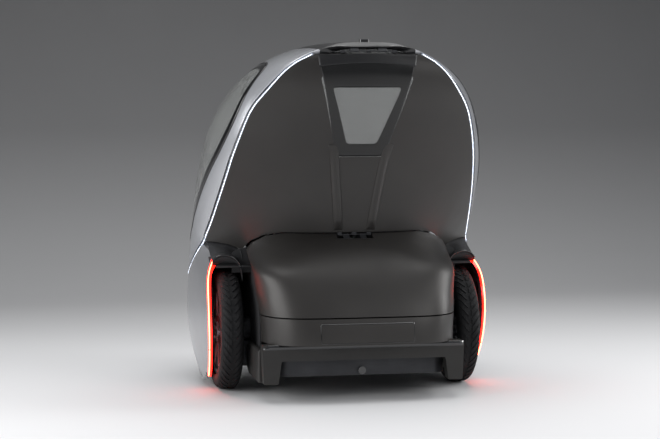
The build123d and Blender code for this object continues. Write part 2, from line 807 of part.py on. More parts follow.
WHEEL_Y = CASTER_Y + CASTER_TRAIL
with BuildPart() as caster_fork_left:
    with BuildSketch(Plane.XY.offset(DECK_LOW - 12)):
        with Locations((CASTER_X, CASTER_Y)):
            Circle(26)
    extrude(amount=-10)
    with BuildSketch(Plane.XY.offset(DECK_LOW - 22)):
        with Locations((CASTER_X, WHEEL_Y - 6)):
            Rectangle(CASTER_W + 24, 34)
    extrude(amount=-8)
    with BuildSketch(Plane.YZ.offset(CASTER_X + CASTER_W / 2 + 4)):
        with BuildLine():
            Polyline((WHEEL_Y - 22, DECK_LOW - 24), (WHEEL_Y + 10, DECK_LOW - 24),
                     (WHEEL_Y + 9, CASTER_R - 9), (WHEEL_Y - 9, CASTER_R - 9), (WHEEL_Y - 22, DECK_LOW - 24))
        make_face()
    extrude(amount=6)
    with BuildSketch(Plane.YZ.offset(CASTER_X - CASTER_W / 2 - 10)):
        with BuildLine():
            Polyline((WHEEL_Y - 22, DECK_LOW - 24), (WHEEL_Y + 10, DECK_LOW - 24),
                     (WHEEL_Y + 9, CASTER_R - 9), (WHEEL_Y - 9, CASTER_R - 9), (WHEEL_Y - 22, DECK_LOW - 24))
        make_face()
    extrude(amount=6)
    with BuildSketch(Plane.YZ.offset(CASTER_X - CASTER_W / 2 - 10)):
        with Locations((WHEEL_Y, CASTER_R)):
            Circle(5)
    extrude(amount=CASTER_W + 20)
    with BuildSketch(Plane.XY.offset(DECK_LOW - 10)):
        with Locations((CASTER_X, CASTER_Y)):
            Circle(SWIVEL_R + STUB_GAP)
    extrude(amount=-14.5, mode=Mode.SUBTRACT)
finish_pair(caster_fork_left, "caster_fork")

with BuildPart() as caster_wheel_left:
    with BuildSketch(Plane.YZ.offset(CASTER_X - CASTER_W / 2)):
        with Locations((WHEEL_Y, CASTER_R)):
            Circle(CASTER_R)
            Circle(5 + STUB_GAP, mode=Mode.SUBTRACT)
    extrude(amount=CASTER_W)
    fillet(caster_wheel_left.edges().filter_by(GeomType.CIRCLE).group_by(SortBy.RADIUS)[-1], 6)
finish_pair(caster_wheel_left, "caster_wheel")


# ------------------------------------------------------------------- hinges
PIN_R = 2.5
KNUCKLE_R = 4.0
POST_L = 20.0
ROOF_HINGE_HALF = 130.0
LID_HINGE_HALF = 80.0
LID_HINGE_Y = 440.0
LID_HINGE_Z = LID_TOP - 5


def hinge_pin(y, z, half, post_y, post_top):
    """Pin held by three posts that stand on the fixed side."""
    with BuildPart() as pin:
        with BuildSketch(Plane.YZ.offset(-half)):
            with Locations((y, z)):
                Circle(PIN_R)
        extrude(amount=2 * half)
        for x in (-half, -POST_L / 2, half - POST_L):
            with BuildSketch(Plane.YZ.offset(x)):
                with Locations((y, z)):
                    Circle(KNUCKLE_R)
                with Locations((post_y, (z + post_top) / 2)):
                    Rectangle(2 * KNUCKLE_R, abs(post_top - z))
            extrude(amount=POST_L)
    return pin.part


def hinge_straps(y, z, half, length, strap):
    """Two knuckles that turn on the pin, each with a strap given by its corners."""
    with BuildPart() as straps:
        for x in (-half / 2 - length / 2, half / 2 - length / 2):
            with BuildSketch(Plane.YZ.offset(x)):
                with Locations((y, z)):
                    Circle(KNUCKLE_R)
                with BuildLine():
                    Polyline(*strap, strap[0])
                make_face()
                with Locations((y, z)):
                    Circle(PIN_R + STUB_GAP, mode=Mode.SUBTRACT)
            extrude(amount=length)
    return straps.part


with BuildPart() as canopy_hinge_pin:
    add(hinge_pin(HINGE_Y, HINGE_Z, ROOF_HINGE_HALF, HINGE_Y - 2, SHELL_TOP + 0.5))
finish(canopy_hinge_pin, "canopy_hinge_pin")

with BuildPart() as canopy_hinge:
    add(hinge_straps(HINGE_Y, HINGE_Z, ROOF_HINGE_HALF, 40, [
        (HINGE_Y + 3, HINGE_Z + 2), (HINGE_Y - 4, HINGE_Z + 15.5), (HINGE_Y - 22.5, HINGE_Z + 6),
        (HINGE_Y - 22.5, HINGE_Z - 1), (HINGE_Y, HINGE_Z - 3),
    ]))
finish(canopy_hinge, "canopy_hinge")

with BuildPart() as lid_hinge_pin:
    add(hinge_pin(LID_HINGE_Y, LID_HINGE_Z, LID_HINGE_HALF, LID_HINGE_Y - 5, LID_TOP + SEAM - 0.5))
finish(lid_hinge_pin, "lid_hinge_pin")

with BuildPart() as lid_hinge:
    add(hinge_straps(LID_HINGE_Y, LID_HINGE_Z, LID_HINGE_HALF, 28, [
        (LID_HINGE_Y + 3, LID_HINGE_Z), (LID_HINGE_Y + 31, LID_NOTCH_LOW + 0.4),
        (LID_HINGE_Y + 20, LID_NOTCH_LOW + 0.4), (LID_HINGE_Y - 3, LID_HINGE_Z),
    ]))
finish(lid_hinge, "lid_hinge")

# --------------------------------------------------------- things to sit on
for side, sign in SIDES.items():
    middle = sign * (SEAT_GAP + SEAT_W) / 2
    with BuildPart() as seat_cushion:
        with BuildSketch(Plane.XY.offset(CUSHION_LOW)):
            with Locations((middle, 0)):
                RectangleRounded(SEAT_W, 460, 60)
        extrude(amount=CUSHION_T)
    finish(seat_cushion, f"seat_cushion_{side}")
    with BuildPart() as seat_back:
        with BuildSketch(Plane.YZ.offset(middle - SEAT_W / 2)):
            with BuildLine():
                Polyline((150, BACK_LOW), (300, 1130), (360, 1130), (240, BACK_LOW),
                         (150, BACK_LOW))
            make_face()
        extrude(amount=SEAT_W)
        fillet(seat_back.edges().filter_by(Axis.Y, reverse=True).group_by(Axis.Z)[-1].filter_by(Axis.X), 20)
    finish(seat_back, f"seat_back_{side}")

with BuildPart() as seat_frame:
    with BuildSketch(Plane.XY.offset(FLOOR_Z)):
        with Locations((0, 10)):
            Rectangle(640, 380)
    extrude(amount=CUSHION_LOW - FLOOR_Z - PANE_GAP)
finish(seat_frame, "seat_frame")

with BuildPart() as dashboard:
    with BuildSketch(Plane.YZ.offset(-360)):
        with BuildLine():
            Polyline((-540, 640), (-470, 760), (-430, 760), (-420, 700), (-480, 600), (-540, 640))
        make_face()
    extrude(amount=720)
    with BuildSketch(Plane.XY.offset(FLOOR_Z)):
        with Locations((0, -490)):
            Rectangle(160, 60)
    extrude(amount=300)
finish(dashboard, "dashboard")

with BuildPart() as steering_handle:
    with BuildSketch(Plane.XZ.offset(300)):
        with Locations((-SEAT_W / 2 - SEAT_GAP / 2, 700)):
            RectangleRounded(240, 110, 40)
            RectangleRounded(180, 60, 20, mode=Mode.SUBTRACT)
    extrude(amount=26)
    with BuildSketch(Plane.XZ.offset(326)):
        with Locations((-SEAT_W / 2 - SEAT_GAP / 2, 700)):
            Rectangle(60, 70)
    extrude(amount=94 - PANE_GAP)
finish(steering_handle, "steering_handle")

with BuildPart() as roof_sensor:
    with BuildSketch(Plane.XY.offset(ROOF_Z - 12)):
        with Locations((0, 640)):
            RectangleRounded(43, 30, 8)
    extrude(amount=22)
    add(skin(canopy_all, SHELL_T, proud=PANE_GAP, **CANOPY_GRID), mode=Mode.SUBTRACT)
finish(roof_sensor, "roof_sensor")
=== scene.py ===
# %% [markdown]
# # A two-seat pod car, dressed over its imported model
# The car stands on two wheels side by side, with small casters under its nose.
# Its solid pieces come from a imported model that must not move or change, so
# this lesson adds what solid modelling leaves out: paint, glass, light, tread
# and cloth. Lengths are in metres, +Z is up, the nose points to -Y, and the
# car's own left side is +X.

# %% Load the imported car
import bpy
import bmesh
import json
import math
from collections import namedtuple
from mathutils import Matrix, Vector
from mathutils.bvhtree import BVHTree


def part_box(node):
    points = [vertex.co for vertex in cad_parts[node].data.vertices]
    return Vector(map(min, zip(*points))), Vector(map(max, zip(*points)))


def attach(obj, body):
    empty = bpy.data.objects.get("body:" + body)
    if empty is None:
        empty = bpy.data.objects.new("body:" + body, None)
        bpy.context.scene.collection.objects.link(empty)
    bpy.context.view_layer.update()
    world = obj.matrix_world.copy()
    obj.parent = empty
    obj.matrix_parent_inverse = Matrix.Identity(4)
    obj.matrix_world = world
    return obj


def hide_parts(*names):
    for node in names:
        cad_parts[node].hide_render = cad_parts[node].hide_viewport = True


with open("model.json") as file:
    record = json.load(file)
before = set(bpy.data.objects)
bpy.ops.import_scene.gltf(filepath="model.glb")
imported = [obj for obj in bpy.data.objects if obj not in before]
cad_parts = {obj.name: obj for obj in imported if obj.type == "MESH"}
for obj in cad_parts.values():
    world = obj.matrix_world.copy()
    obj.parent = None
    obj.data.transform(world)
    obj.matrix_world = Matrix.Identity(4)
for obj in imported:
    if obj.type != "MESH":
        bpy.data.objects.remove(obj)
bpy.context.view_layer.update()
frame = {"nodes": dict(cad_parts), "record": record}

SIDES = ((1, "left"), (-1, "right"))
nodes = frame["nodes"]
body_of = {node: body for body, held in frame["record"]["behaviour"]["bodies"].items() for node in held}

# %% [markdown]
# ## Camera
# The car is seen from behind and a little to its left, at about roof height.
# A short lens close by would bulge the tail towards us, so a long lens stands
# well back and keeps upright edges nearly parallel. Its aim is given as a turn
# and a tilt, because two angles are easier to nudge than a free rotation.

# %% Camera
EYE = Vector((2.0416, 9.755, 1.5309))
TURN, TILT = 0.20385533, 0.0744377678
LENS, SENSOR = 111.68, 36.0

scene = bpy.context.scene


def new_object(name, data):
    """Makes an object of a mesh, lamp or camera and puts it in the scene."""
    obj = bpy.data.objects.new(name, data)
    scene.collection.objects.link(obj)
    return obj


look = Vector((-math.sin(TURN) * math.cos(TILT), -math.cos(TURN) * math.cos(TILT), -math.sin(TILT)))
camera = new_object("camera", bpy.data.cameras.new("camera"))
camera.data.sensor_width = SENSOR
camera.data.lens = LENS
camera.location = EYE
camera.rotation_euler = look.to_track_quat("-Z", "Y").to_euler()
scene.camera = camera
scene.view_settings.view_transform = "Standard"
print("camera stands back", round(EYE.length, 2))

# %% [markdown]
# ## Shared effects
# Real paint and plastic are never quite even. They have a fine grain that the
# light catches, and slow patches where handling and moulding change the gloss.
# A picture could carry both, but it would need unwrapping. Noise on Object
# coordinates needs none and keeps its scale on every piece. Each effect is
# one shader group, so all finishes share it and set only its numbers.

# %% Helpers for node trees
def maths(tree, operation, *values):
    """Adds a Math node fed by numbers or sockets, and returns its output."""
    node = tree.nodes.new("ShaderNodeMath")
    node.operation = operation
    for socket, value in zip(node.inputs, values):
        if isinstance(value, (int, float)):
            socket.default_value = value
        else:
            tree.links.new(value, socket)
    return node.outputs[0]


def colour_ramp(tree, stops):
    """Adds a ramp with one stop for each pair of a place and a colour."""
    ramp = tree.nodes.new("ShaderNodeValToRGB")
    elements = ramp.color_ramp.elements
    while len(elements) < len(stops):
        elements.new(0.5)
    for element, (at, colour) in zip(elements, stops):
        element.position = at
        element.color = (*colour, 1)
    return ramp


def effect_group(name, inputs, output):
    """Starts a shader group on Object coordinates with named number sockets."""
    group = bpy.data.node_groups.new(name, "ShaderNodeTree")
    for label, value in inputs:
        socket = group.interface.new_socket(label, in_out="INPUT", socket_type="NodeSocketFloat")
        socket.default_value = value
    group.interface.new_socket(output, in_out="OUTPUT", socket_type="NodeSocketFloat")
    ins = group.nodes.new("NodeGroupInput")
    outs = group.nodes.new("NodeGroupOutput")
    place = group.nodes.new("ShaderNodeTexCoord")
    return group, ins, outs, place


def use_group(mat, group, **values):
    """Places a shader group in a material with that material's own numbers."""
    node = mat.node_tree.nodes.new("ShaderNodeGroup")
    node.node_tree = group
    for label, value in values.items():
        node.inputs[label].default_value = value
    return node


print("node helpers ready")

# %% Grain and patches
def make_grain():
    group, ins, outs, place = effect_group("fine_grain", [("Scale", 400.0), ("Amount", 1.0)], "Height")
    noise = group.nodes.new("ShaderNodeTexNoise")
    noise.inputs["Detail"].default_value = 3.0
    group.links.new(place.outputs["Object"], noise.inputs["Vector"])
    group.links.new(ins.outputs["Scale"], noise.inputs["Scale"])
    height = maths(group, "MULTIPLY", noise.outputs["Fac"], ins.outputs["Amount"])
    group.links.new(height, outs.inputs["Height"])
    return group


def make_patches():
    sizes = [("Scale", 4.0), ("Low", 0.2), ("High", 0.3)]
    group, ins, outs, place = effect_group("slow_patches", sizes, "Value")
    noise = group.nodes.new("ShaderNodeTexNoise")
    noise.inputs["Detail"].default_value = 5.0
    noise.inputs["Roughness"].default_value = 0.6
    span = group.nodes.new("ShaderNodeMapRange")
    span.inputs["From Min"].default_value = 0.3
    span.inputs["From Max"].default_value = 0.7
    group.links.new(place.outputs["Object"], noise.inputs["Vector"])
    group.links.new(ins.outputs["Scale"], noise.inputs["Scale"])
    group.links.new(noise.outputs["Fac"], span.inputs["Value"])
    group.links.new(ins.outputs["Low"], span.inputs["To Min"])
    group.links.new(ins.outputs["High"], span.inputs["To Max"])
    group.links.new(span.outputs[0], outs.inputs["Value"])
    return group


fine_grain = make_grain()
slow_patches = make_patches()
print("groups", fine_grain.name, slow_patches.name)

# %% [markdown]
# ## One builder for every finish
# Paint, plastic, rubber and metal differ in numbers, not in kind: a colour
# that drifts between two shades, a roughness that drifts with it, a little
# grain, and for lacquered pieces a clear coat. One function writes that
# material, so a finish is one readable call. What is even all over, such as
# metallic or coat, is set on the shader's own socket.

# %% Material builder
ROUGH_PATCHES = 2.3
GRAIN_HEIGHT = 0.002


def material(name, dark, light, rough, metallic=0.0, coat=0.0, coat_rough=0.05, patch=3.0,
             grain=(500.0, 0.02), specular=0.5, spread=0.06):
    """Surface that drifts between two shades and between rough less and plus spread."""
    mat = bpy.data.materials.new(name)
    mat.use_nodes = True
    tree = mat.node_tree
    skin = tree.nodes["Principled BSDF"]
    skin.inputs["Metallic"].default_value = metallic
    skin.inputs["Coat Weight"].default_value = coat
    skin.inputs["Coat Roughness"].default_value = coat_rough
    skin.inputs["Specular IOR Level"].default_value = specular
    shade = use_group(mat, slow_patches, Scale=patch, Low=0.0, High=1.0)
    ramp = colour_ramp(tree, [(0.0, dark), (1.0, light)])
    tree.links.new(shade.outputs["Value"], ramp.inputs["Fac"])
    tree.links.new(ramp.outputs["Color"], skin.inputs["Base Color"])
    gloss = use_group(
        mat, slow_patches, Scale=patch * ROUGH_PATCHES, Low=rough - spread, High=rough + spread)
    tree.links.new(gloss.outputs["Value"], skin.inputs["Roughness"])
    height = use_group(mat, fine_grain, Scale=grain[0], Amount=1.0)
    bump = tree.nodes.new("ShaderNodeBump")
    bump.inputs["Strength"].default_value = grain[1]
    bump.inputs["Distance"].default_value = GRAIN_HEIGHT
    tree.links.new(height.outputs["Height"], bump.inputs["Height"])
    tree.links.new(bump.outputs["Normal"], skin.inputs["Normal"])
    return mat


print("material builder ready")

# %% [markdown]
# ## Paint
# The canopy is a pale lilac silver under clear lacquer, and the discs over the
# wheels are a warmer silver. The tail is a satin graphite whose lacquer is
# matt. A full metal shader would mirror the room too sharply, because real
# metallic paint is flakes in a binder, so Metallic stays near a half and the
# coat adds the sharp reflection.

# %% Paints
silver = material(
    "lilac_silver_paint", (0.42, 0.43, 0.455), (0.47, 0.48, 0.505), 0.32, metallic=0.5,
    coat=1.0, coat_rough=0.04, patch=1.2, grain=(2600.0, 0.008))
disc_silver = material(
    "warm_silver_paint", (0.33, 0.332, 0.35), (0.38, 0.38, 0.395), 0.36, metallic=0.5,
    coat=0.9, coat_rough=0.06, patch=1.4, grain=(2600.0, 0.008))
graphite = material(
    "satin_graphite", (0.0225, 0.0205, 0.019), (0.030, 0.0275, 0.0255), 0.45, metallic=0.4,
    coat=0.22, coat_rough=0.34, patch=2.0, grain=(1800.0, 0.01))
cover_grey = material(
    "satin_cover", (0.019, 0.018, 0.017), (0.026, 0.0245, 0.023), 0.5, metallic=0.3,
    coat=0.1, coat_rough=0.4, patch=4.0, grain=(1500.0, 0.03))
print("paints", silver.name, disc_silver.name, graphite.name, cover_grey.name)

# %% [markdown]
# ## Black pieces
# A car has many blacks, and they read apart only by their gloss: satin on the
# roof, polished on trims and sensors, fired enamel on the glass, grained on
# moulded plastic and dull on rubber. Their colours are almost equal here, and
# the roughness, coat and grain do the telling apart.

# %% Blacks
roof_black = material(
    "satin_roof_black", (0.010, 0.010, 0.011), (0.016, 0.016, 0.017), 0.42, coat=0.1,
    coat_rough=0.3, patch=3.0, grain=(1500.0, 0.02), specular=0.3)
piano_black = material(
    "gloss_black", (0.004, 0.004, 0.005), (0.007, 0.007, 0.008), 0.09, coat=1.0,
    coat_rough=0.02, patch=5.0, grain=(300.0, 0.004), spread=0.03)
frit_black = material(
    "fired_black_border", (0.005, 0.005, 0.005), (0.008, 0.008, 0.008), 0.16, coat=0.25,
    coat_rough=0.06, patch=4.0, grain=(300.0, 0.004), spread=0.03, specular=0.35)
moulded = material(
    "moulded_black", (0.012, 0.012, 0.013), (0.020, 0.020, 0.022), 0.62, patch=7.0,
    grain=(900.0, 0.35))
rubber = material(
    "tyre_rubber", (0.008, 0.008, 0.009), (0.016, 0.016, 0.017), 0.78, patch=9.0,
    grain=(700.0, 0.4), specular=0.3)
print("blacks", roof_black.name, piano_black.name, frit_black.name, moulded.name, rubber.name)

# %% [markdown]
# ## Bare and coated metal
# Wheel discs are cast alloy, forks and hinges are powder-coated steel, and
# bolts are bare. Bare metal takes its look from what it mirrors, so its
# Metallic is one and its colour is the tint of the reflection.

# %% Metals
alloy = material(
    "brushed_alloy", (0.33, 0.33, 0.35), (0.46, 0.46, 0.48), 0.33, metallic=1.0, patch=12.0,
    grain=(1200.0, 0.12))
coated = material(
    "coated_steel", (0.030, 0.031, 0.034), (0.050, 0.051, 0.055), 0.48, metallic=0.6,
    patch=6.0, grain=(800.0, 0.2))
pin_steel = material(
    "pin_steel", (0.42, 0.42, 0.43), (0.55, 0.55, 0.56), 0.28, metallic=1.0, patch=30.0,
    grain=(2500.0, 0.1))
print("metals", alloy.name, coated.name, pin_steel.name)

# %% [markdown]
# ## Black roof panel
# Along the middle of the roof the silver gives way to a black band that
# narrows towards the tail. On the car it is the same panel, masked and sprayed
# twice. A second mesh laid on top would need its own edge and could flicker,
# so the paint is masked in its own nodes too: where a point is near enough to
# the middle and high enough up, the black takes over.

# %% Mask the roof within the silver paint
ROOF_HALF_AT_MIDDLE = 0.316
ROOF_NARROWING = 0.1316
ROOF_ABOVE = 1.45
ROOF_COLOUR = (0.012, 0.012, 0.013, 1)
ROOF_COAT_DROP = 0.9
MIX_A, MIX_B, MIX_RESULT = 6, 7, 2


def paint_roof(mat):
    """Turns the paint satin black in a band along the middle of the roof."""
    tree = mat.node_tree
    skin = tree.nodes["Principled BSDF"]
    place = tree.nodes.new("ShaderNodeTexCoord")
    split = tree.nodes.new("ShaderNodeSeparateXYZ")
    tree.links.new(place.outputs["Object"], split.inputs[0])
    half = maths(tree, "MULTIPLY_ADD", split.outputs["Y"], -ROOF_NARROWING, ROOF_HALF_AT_MIDDLE)
    near_middle = maths(tree, "LESS_THAN", maths(tree, "ABSOLUTE", split.outputs["X"]), half)
    high_up = maths(tree, "GREATER_THAN", split.outputs["Z"], ROOF_ABOVE)
    mask = maths(tree, "MULTIPLY", near_middle, high_up)
    paint = skin.inputs["Base Color"].links[0].from_socket
    mix = tree.nodes.new("ShaderNodeMix")
    mix.data_type = "RGBA"
    mix.inputs[MIX_B].default_value = ROOF_COLOUR
    tree.links.new(mask, mix.inputs["Factor"])
    tree.links.new(paint, mix.inputs[MIX_A])
    tree.links.new(mix.outputs[MIX_RESULT], skin.inputs["Base Color"])
    metal = skin.inputs["Metallic"].default_value
    tree.links.new(maths(tree, "MULTIPLY_ADD", mask, -metal, metal), skin.inputs["Metallic"])
    tree.links.new(maths(tree, "MULTIPLY_ADD", mask, -ROOF_COAT_DROP, 1.0), skin.inputs["Coat Weight"])


paint_roof(silver)
print("roof band half width at the middle of the car", ROOF_HALF_AT_MIDDLE)

# %% [markdown]
# ## Glass
# The windows are tinted laminate that shows the seats dimly. Plain clear glass
# would show the whole cabin, and a dark paint would show nothing, so the
# shader transmits most of the light and the Base Color tints it. Metallic and
# transmission stay plain numbers, which an exported model can carry.

# %% Tinted glass
GLASS_TINT = (0.72, 0.73, 0.72)
GLASS_DRIFT = 1.15


def glass(name, tint, rough):
    light = tuple(c * GLASS_DRIFT for c in tint)
    mat = material(name, tint, light, rough, patch=1.5, grain=(60.0, 0.004), spread=0.01)
    skin = mat.node_tree.nodes["Principled BSDF"]
    skin.inputs["Transmission Weight"].default_value = 0.9
    skin.inputs["IOR"].default_value = 1.45
    return mat


tinted = glass("tinted_glass", GLASS_TINT, 0.02)
print("glass", tinted.name)

# %% [markdown]
# ## Red lights
# Each tail light is a bent red rod, bright along its middle and deep red at
# its edges. A flat emission looks like a sticker. Both lights bend round one
# circle beside the wheel, so the distance from that circle's centre says how
# far across the rod a point is, and a ramp turns it into colour.

# %% Red light and its hot core
LIGHT_CENTRE = (-0.016, 0.353)
DEEP_RED, FULL_RED, EDGE_RED = (0.35, 0.002, 0.001), (1.0, 0.012, 0.005), (0.7, 0.005, 0.002)
HOT_RED, HOTTER_RED = (1.0, 0.12, 0.05), (1.0, 0.15, 0.07)


def glowing(name, radii, stops, strength):
    """Emission that changes with the distance from the light's centre, seen from the side."""
    mat = material(name, stops[0][1], stops[-1][1], 0.2, coat=1.0, patch=20.0)
    tree = mat.node_tree
    skin = tree.nodes["Principled BSDF"]
    place = tree.nodes.new("ShaderNodeTexCoord")
    shift = tree.nodes.new("ShaderNodeVectorMath")
    shift.operation = "SUBTRACT"
    shift.inputs[1].default_value = (0, *LIGHT_CENTRE)
    flat = tree.nodes.new("ShaderNodeVectorMath")
    flat.operation = "MULTIPLY"
    flat.inputs[1].default_value = (0, 1, 1)
    far = tree.nodes.new("ShaderNodeVectorMath")
    far.operation = "LENGTH"
    span = tree.nodes.new("ShaderNodeMapRange")
    span.inputs["From Min"].default_value = radii[0]
    span.inputs["From Max"].default_value = radii[1]
    ramp = colour_ramp(tree, stops)
    tree.links.new(place.outputs["Object"], shift.inputs[0])
    tree.links.new(shift.outputs[0], flat.inputs[0])
    tree.links.new(flat.outputs[0], far.inputs[0])
    tree.links.new(far.outputs["Value"], span.inputs["Value"])
    tree.links.new(span.outputs[0], ramp.inputs["Fac"])
    tree.links.new(ramp.outputs["Color"], skin.inputs["Emission Color"])
    skin.inputs["Emission Strength"].default_value = strength
    return mat


led_red = glowing("red_light", (0.3274, 0.3374), [(0.0, DEEP_RED), (0.5, FULL_RED), (1.0, EDGE_RED)], 12.0)
core_red = glowing("red_light_core", (0.30, 0.36), [(0.0, HOT_RED), (1.0, HOTTER_RED)], 16.0)
print("red lights", led_red.name, core_red.name)

# %% [markdown]
# ## White light
# The side lights are grey lenses with one fine cool-white line of diodes in
# them. The line has to read as lit without lighting the car, so its strength
# stays low, and the slow patches let its colour waver a little, as diodes
# behind a lens do.

# %% White light and its lens
COOL_WHITE, NEUTRAL_WHITE = (0.72, 0.82, 1.0), (0.95, 0.97, 1.0)


def white_strip():
    mat = material("white_light", (0.75, 0.82, 0.95), (0.85, 0.9, 1.0), 0.2, coat=1.0, patch=25.0)
    tree = mat.node_tree
    skin = tree.nodes["Principled BSDF"]
    waver = use_group(mat, slow_patches, Scale=6.0, Low=0.0, High=1.0)
    ramp = colour_ramp(tree, [(0.0, COOL_WHITE), (1.0, NEUTRAL_WHITE)])
    tree.links.new(waver.outputs["Value"], ramp.inputs["Fac"])
    tree.links.new(ramp.outputs["Color"], skin.inputs["Emission Color"])
    skin.inputs["Emission Strength"].default_value = 3.0
    return mat


led_white = white_strip()
lens_grey = material(
    "strip_lens", (0.20, 0.23, 0.30), (0.28, 0.32, 0.40), 0.18, coat=1.0, coat_rough=0.03, patch=8.0)
print("white light", led_white.name, "lens", lens_grey.name)

# %% [markdown]
# ## Smooth skins
# The imported panels are fine loose triangles, which shade as facets. They may
# not be changed themselves, so each is copied, its doubled points are merged,
# and its faces are shaded smooth up to a crease angle. A modifier could do the
# same, but one pass in bmesh keeps the mesh plain. The copy then stands for
# the imported panel, rides on the same body and takes the material listed for it.

# %% Copy a panel and shade it smooth
CREASE = math.radians(32.0)
MERGE = 1e-5


def smooth_copy(node, mat):
    mesh = nodes[node].data.copy()
    obj = new_object(node + "_skin", mesh)
    bm = bmesh.new()
    bm.from_mesh(mesh)
    bmesh.ops.remove_doubles(bm, verts=bm.verts, dist=MERGE)
    for face in bm.faces:
        face.smooth = True
    for edge in bm.edges:
        edge.smooth = len(edge.link_faces) == 2 and edge.calc_face_angle(0) < CREASE
    bm.to_mesh(mesh)
    bm.free()
    mesh.materials.clear()
    mesh.materials.append(mat)
    if mesh.attributes.get("custom_normal"):
        mesh.attributes.remove(mesh.attributes["custom_normal"])
    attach(obj, body_of[node])
    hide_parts(node)
    return obj


print("skin helper ready")

# %% All skins
panels = {
    "canopy_frame": silver, "rear_shell": graphite, "rear_lid": graphite, "rear_bumper": graphite,
    "fender_left": disc_silver, "fender_right": disc_silver, "nose_panel": silver,
    "windscreen": tinted, "side_window_left": tinted, "side_window_right": tinted, "rear_window": tinted,
    "side_light_left": lens_grey, "side_light_right": lens_grey,
    "tail_light_left": led_red, "tail_light_right": led_red,
    "wheel_well_left": moulded, "wheel_well_right": moulded, "rear_cover": cover_grey,
    "number_panel": graphite, "roof_sensor": piano_black, "rear_sensor": piano_black,
    "dashboard": moulded, "steering_handle": moulded, "trunk_box": moulded, "floor_pan": moulded,
    "seat_frame": moulded, "battery_pack": moulded, "chassis_deck": coated,
    "hub_mount_left": coated, "hub_mount_right": coated, "landing_leg_left": coated,
    "landing_leg_right": coated, "caster_fork_left": coated, "caster_fork_right": coated,
    "caster_wheel_left": rubber, "caster_wheel_right": rubber,
    "wheel_rim_left": alloy, "wheel_rim_right": alloy,
    "canopy_hinge": coated, "canopy_hinge_pin": coated, "lid_hinge": coated, "lid_hinge_pin": coated,
}
for node, mat in panels.items():
    smooth_copy(node, mat)
print("skins", len(panels))

# %% [markdown]
# ## Trim that follows the skin
# Seals, grooves and dark borders lie on curved panels. Modelled by hand they
# would float or sink. Here each is drawn as a flat outline, cut into small
# faces, and dropped along one axis onto the panel below, as a rubber sheet
# would be, so it follows the curve exactly. Solidify gives it its thickness.

# %% Panels to drop trim onto
OUTSIDE = 1.2
Skin = namedtuple("Skin", "tree start ray")


def skin_of(outward, *names):
    """The named panels as one tree, seen from outside: flat points start there and go inward."""
    bm = bmesh.new()
    for name in names:
        bm.from_mesh(nodes[name].data)
    tree = BVHTree.FromBMesh(bm)
    bm.free()
    out = Vector(outward)
    across = Vector((0, 1, 0)) if out.x else Vector((1, 0, 0))
    up = Vector((0, 0, 1))
    return Skin(tree, lambda a, b: out * OUTSIDE + across * a + up * b, -out)


BACK, FRONT = (0, 1, 0), (0, -1, 0)
shell = skin_of(BACK, "rear_shell", "rear_window")
print("the tail one metre up is met at", shell.tree.ray_cast(shell.start(0, 1), shell.ray)[0])

# %% Smooth outlines
def spline_loop(points, count, closed=True):
    """Smooth points through a few given ones, by Catmull and Rom's rule."""
    n = len(points)
    spans = n if closed else n - 1

    def between(a, b, c, d, t):
        bend = (2 * a - 5 * b + 4 * c - d) * t * t + (3 * b - a - 3 * c + d) * t ** 3
        return 0.5 * (2 * b + (c - a) * t + bend)

    out = []
    for k in range(count):
        s = k * spans / (count if closed else count - 1)
        i = min(int(s), spans - 1)
        pick = [points[(i + j) % n] if closed else points[min(max(i + j, 0), n - 1)] for j in (-1, 0, 1, 2)]
        out.append(tuple(between(*four, s - i) for four in zip(*pick)))
    return out


def rounded_quad(corners, radius, steps=6, run=14):
    """Outline of straight sides with rounded corners, as points."""
    out, n = [], len(corners)
    for i in range(n):
        a, b, c = (Vector(corners[(i + k) % n]) for k in (-1, 0, 1))
        start = b + (a - b).normalized() * radius
        end = b + (c - b).normalized() * radius
        for s in range(steps + 1):
            t = s / steps
            out.append(tuple((1 - t) ** 2 * start + 2 * t * (1 - t) * b + t * t * end))
        for s in range(1, run):
            out.append(tuple(end.lerp(c + (b - c).normalized() * radius, s / run)))
    return out


def sideways(points, closed):
    """Unit normals of a flat line, to its left."""
    out, n = [], len(points)
    for i in range(n):
        a = points[(i - 1) % n] if closed else points[max(i - 1, 0)]
        b = points[(i + 1) % n] if closed else points[min(i + 1, n - 1)]
        d = (b[0] - a[0], b[1] - a[1])
        size = math.hypot(*d) or 1
        out.append((-d[1] / size, d[0] / size))
    return out


print("outline helpers ready")

# %% [markdown]
# ## From flat grid to solid strip
# A dropped point can fall in a hairline seam between two panels and miss both,
# so the ray tries again a millimetre or two to each side. Points that still
# miss are left out with their faces. The faces are turned to look back along
# the ray, and every piece is made ready in the same way by one last helper.

# %% Drop, join and dress
SIDESTEP = 0.0015
SKEW = Vector((0.3, 0.5, 0.8))


def dropped(skin, a, b, lift):
    """Point lifted off the skin below a flat point, or off its neighbour beside a seam."""
    side = skin.ray.cross(SKEW).normalized() * SIDESTEP
    for shift in (Vector(), side, -side, side * 2, side * -2):
        hit, normal, _, _ = skin.tree.ray_cast(skin.start(a, b) + shift, skin.ray)
        if hit:
            return hit - shift + (normal if normal.dot(skin.ray) < 0 else -normal) * lift
    return None


def dress(name, bm, body, mat, wall=0.0):
    """Makes a finished object of a bmesh: material, wall thickness and body."""
    mesh = bpy.data.meshes.new(name)
    bm.to_mesh(mesh)
    bm.free()
    mesh.materials.append(mat)
    obj = new_object(name, mesh)
    if wall:
        solid = obj.modifiers.new("wall", "SOLIDIFY")
        solid.thickness = wall
        solid.offset = 0.0
    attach(obj, body)
    return obj


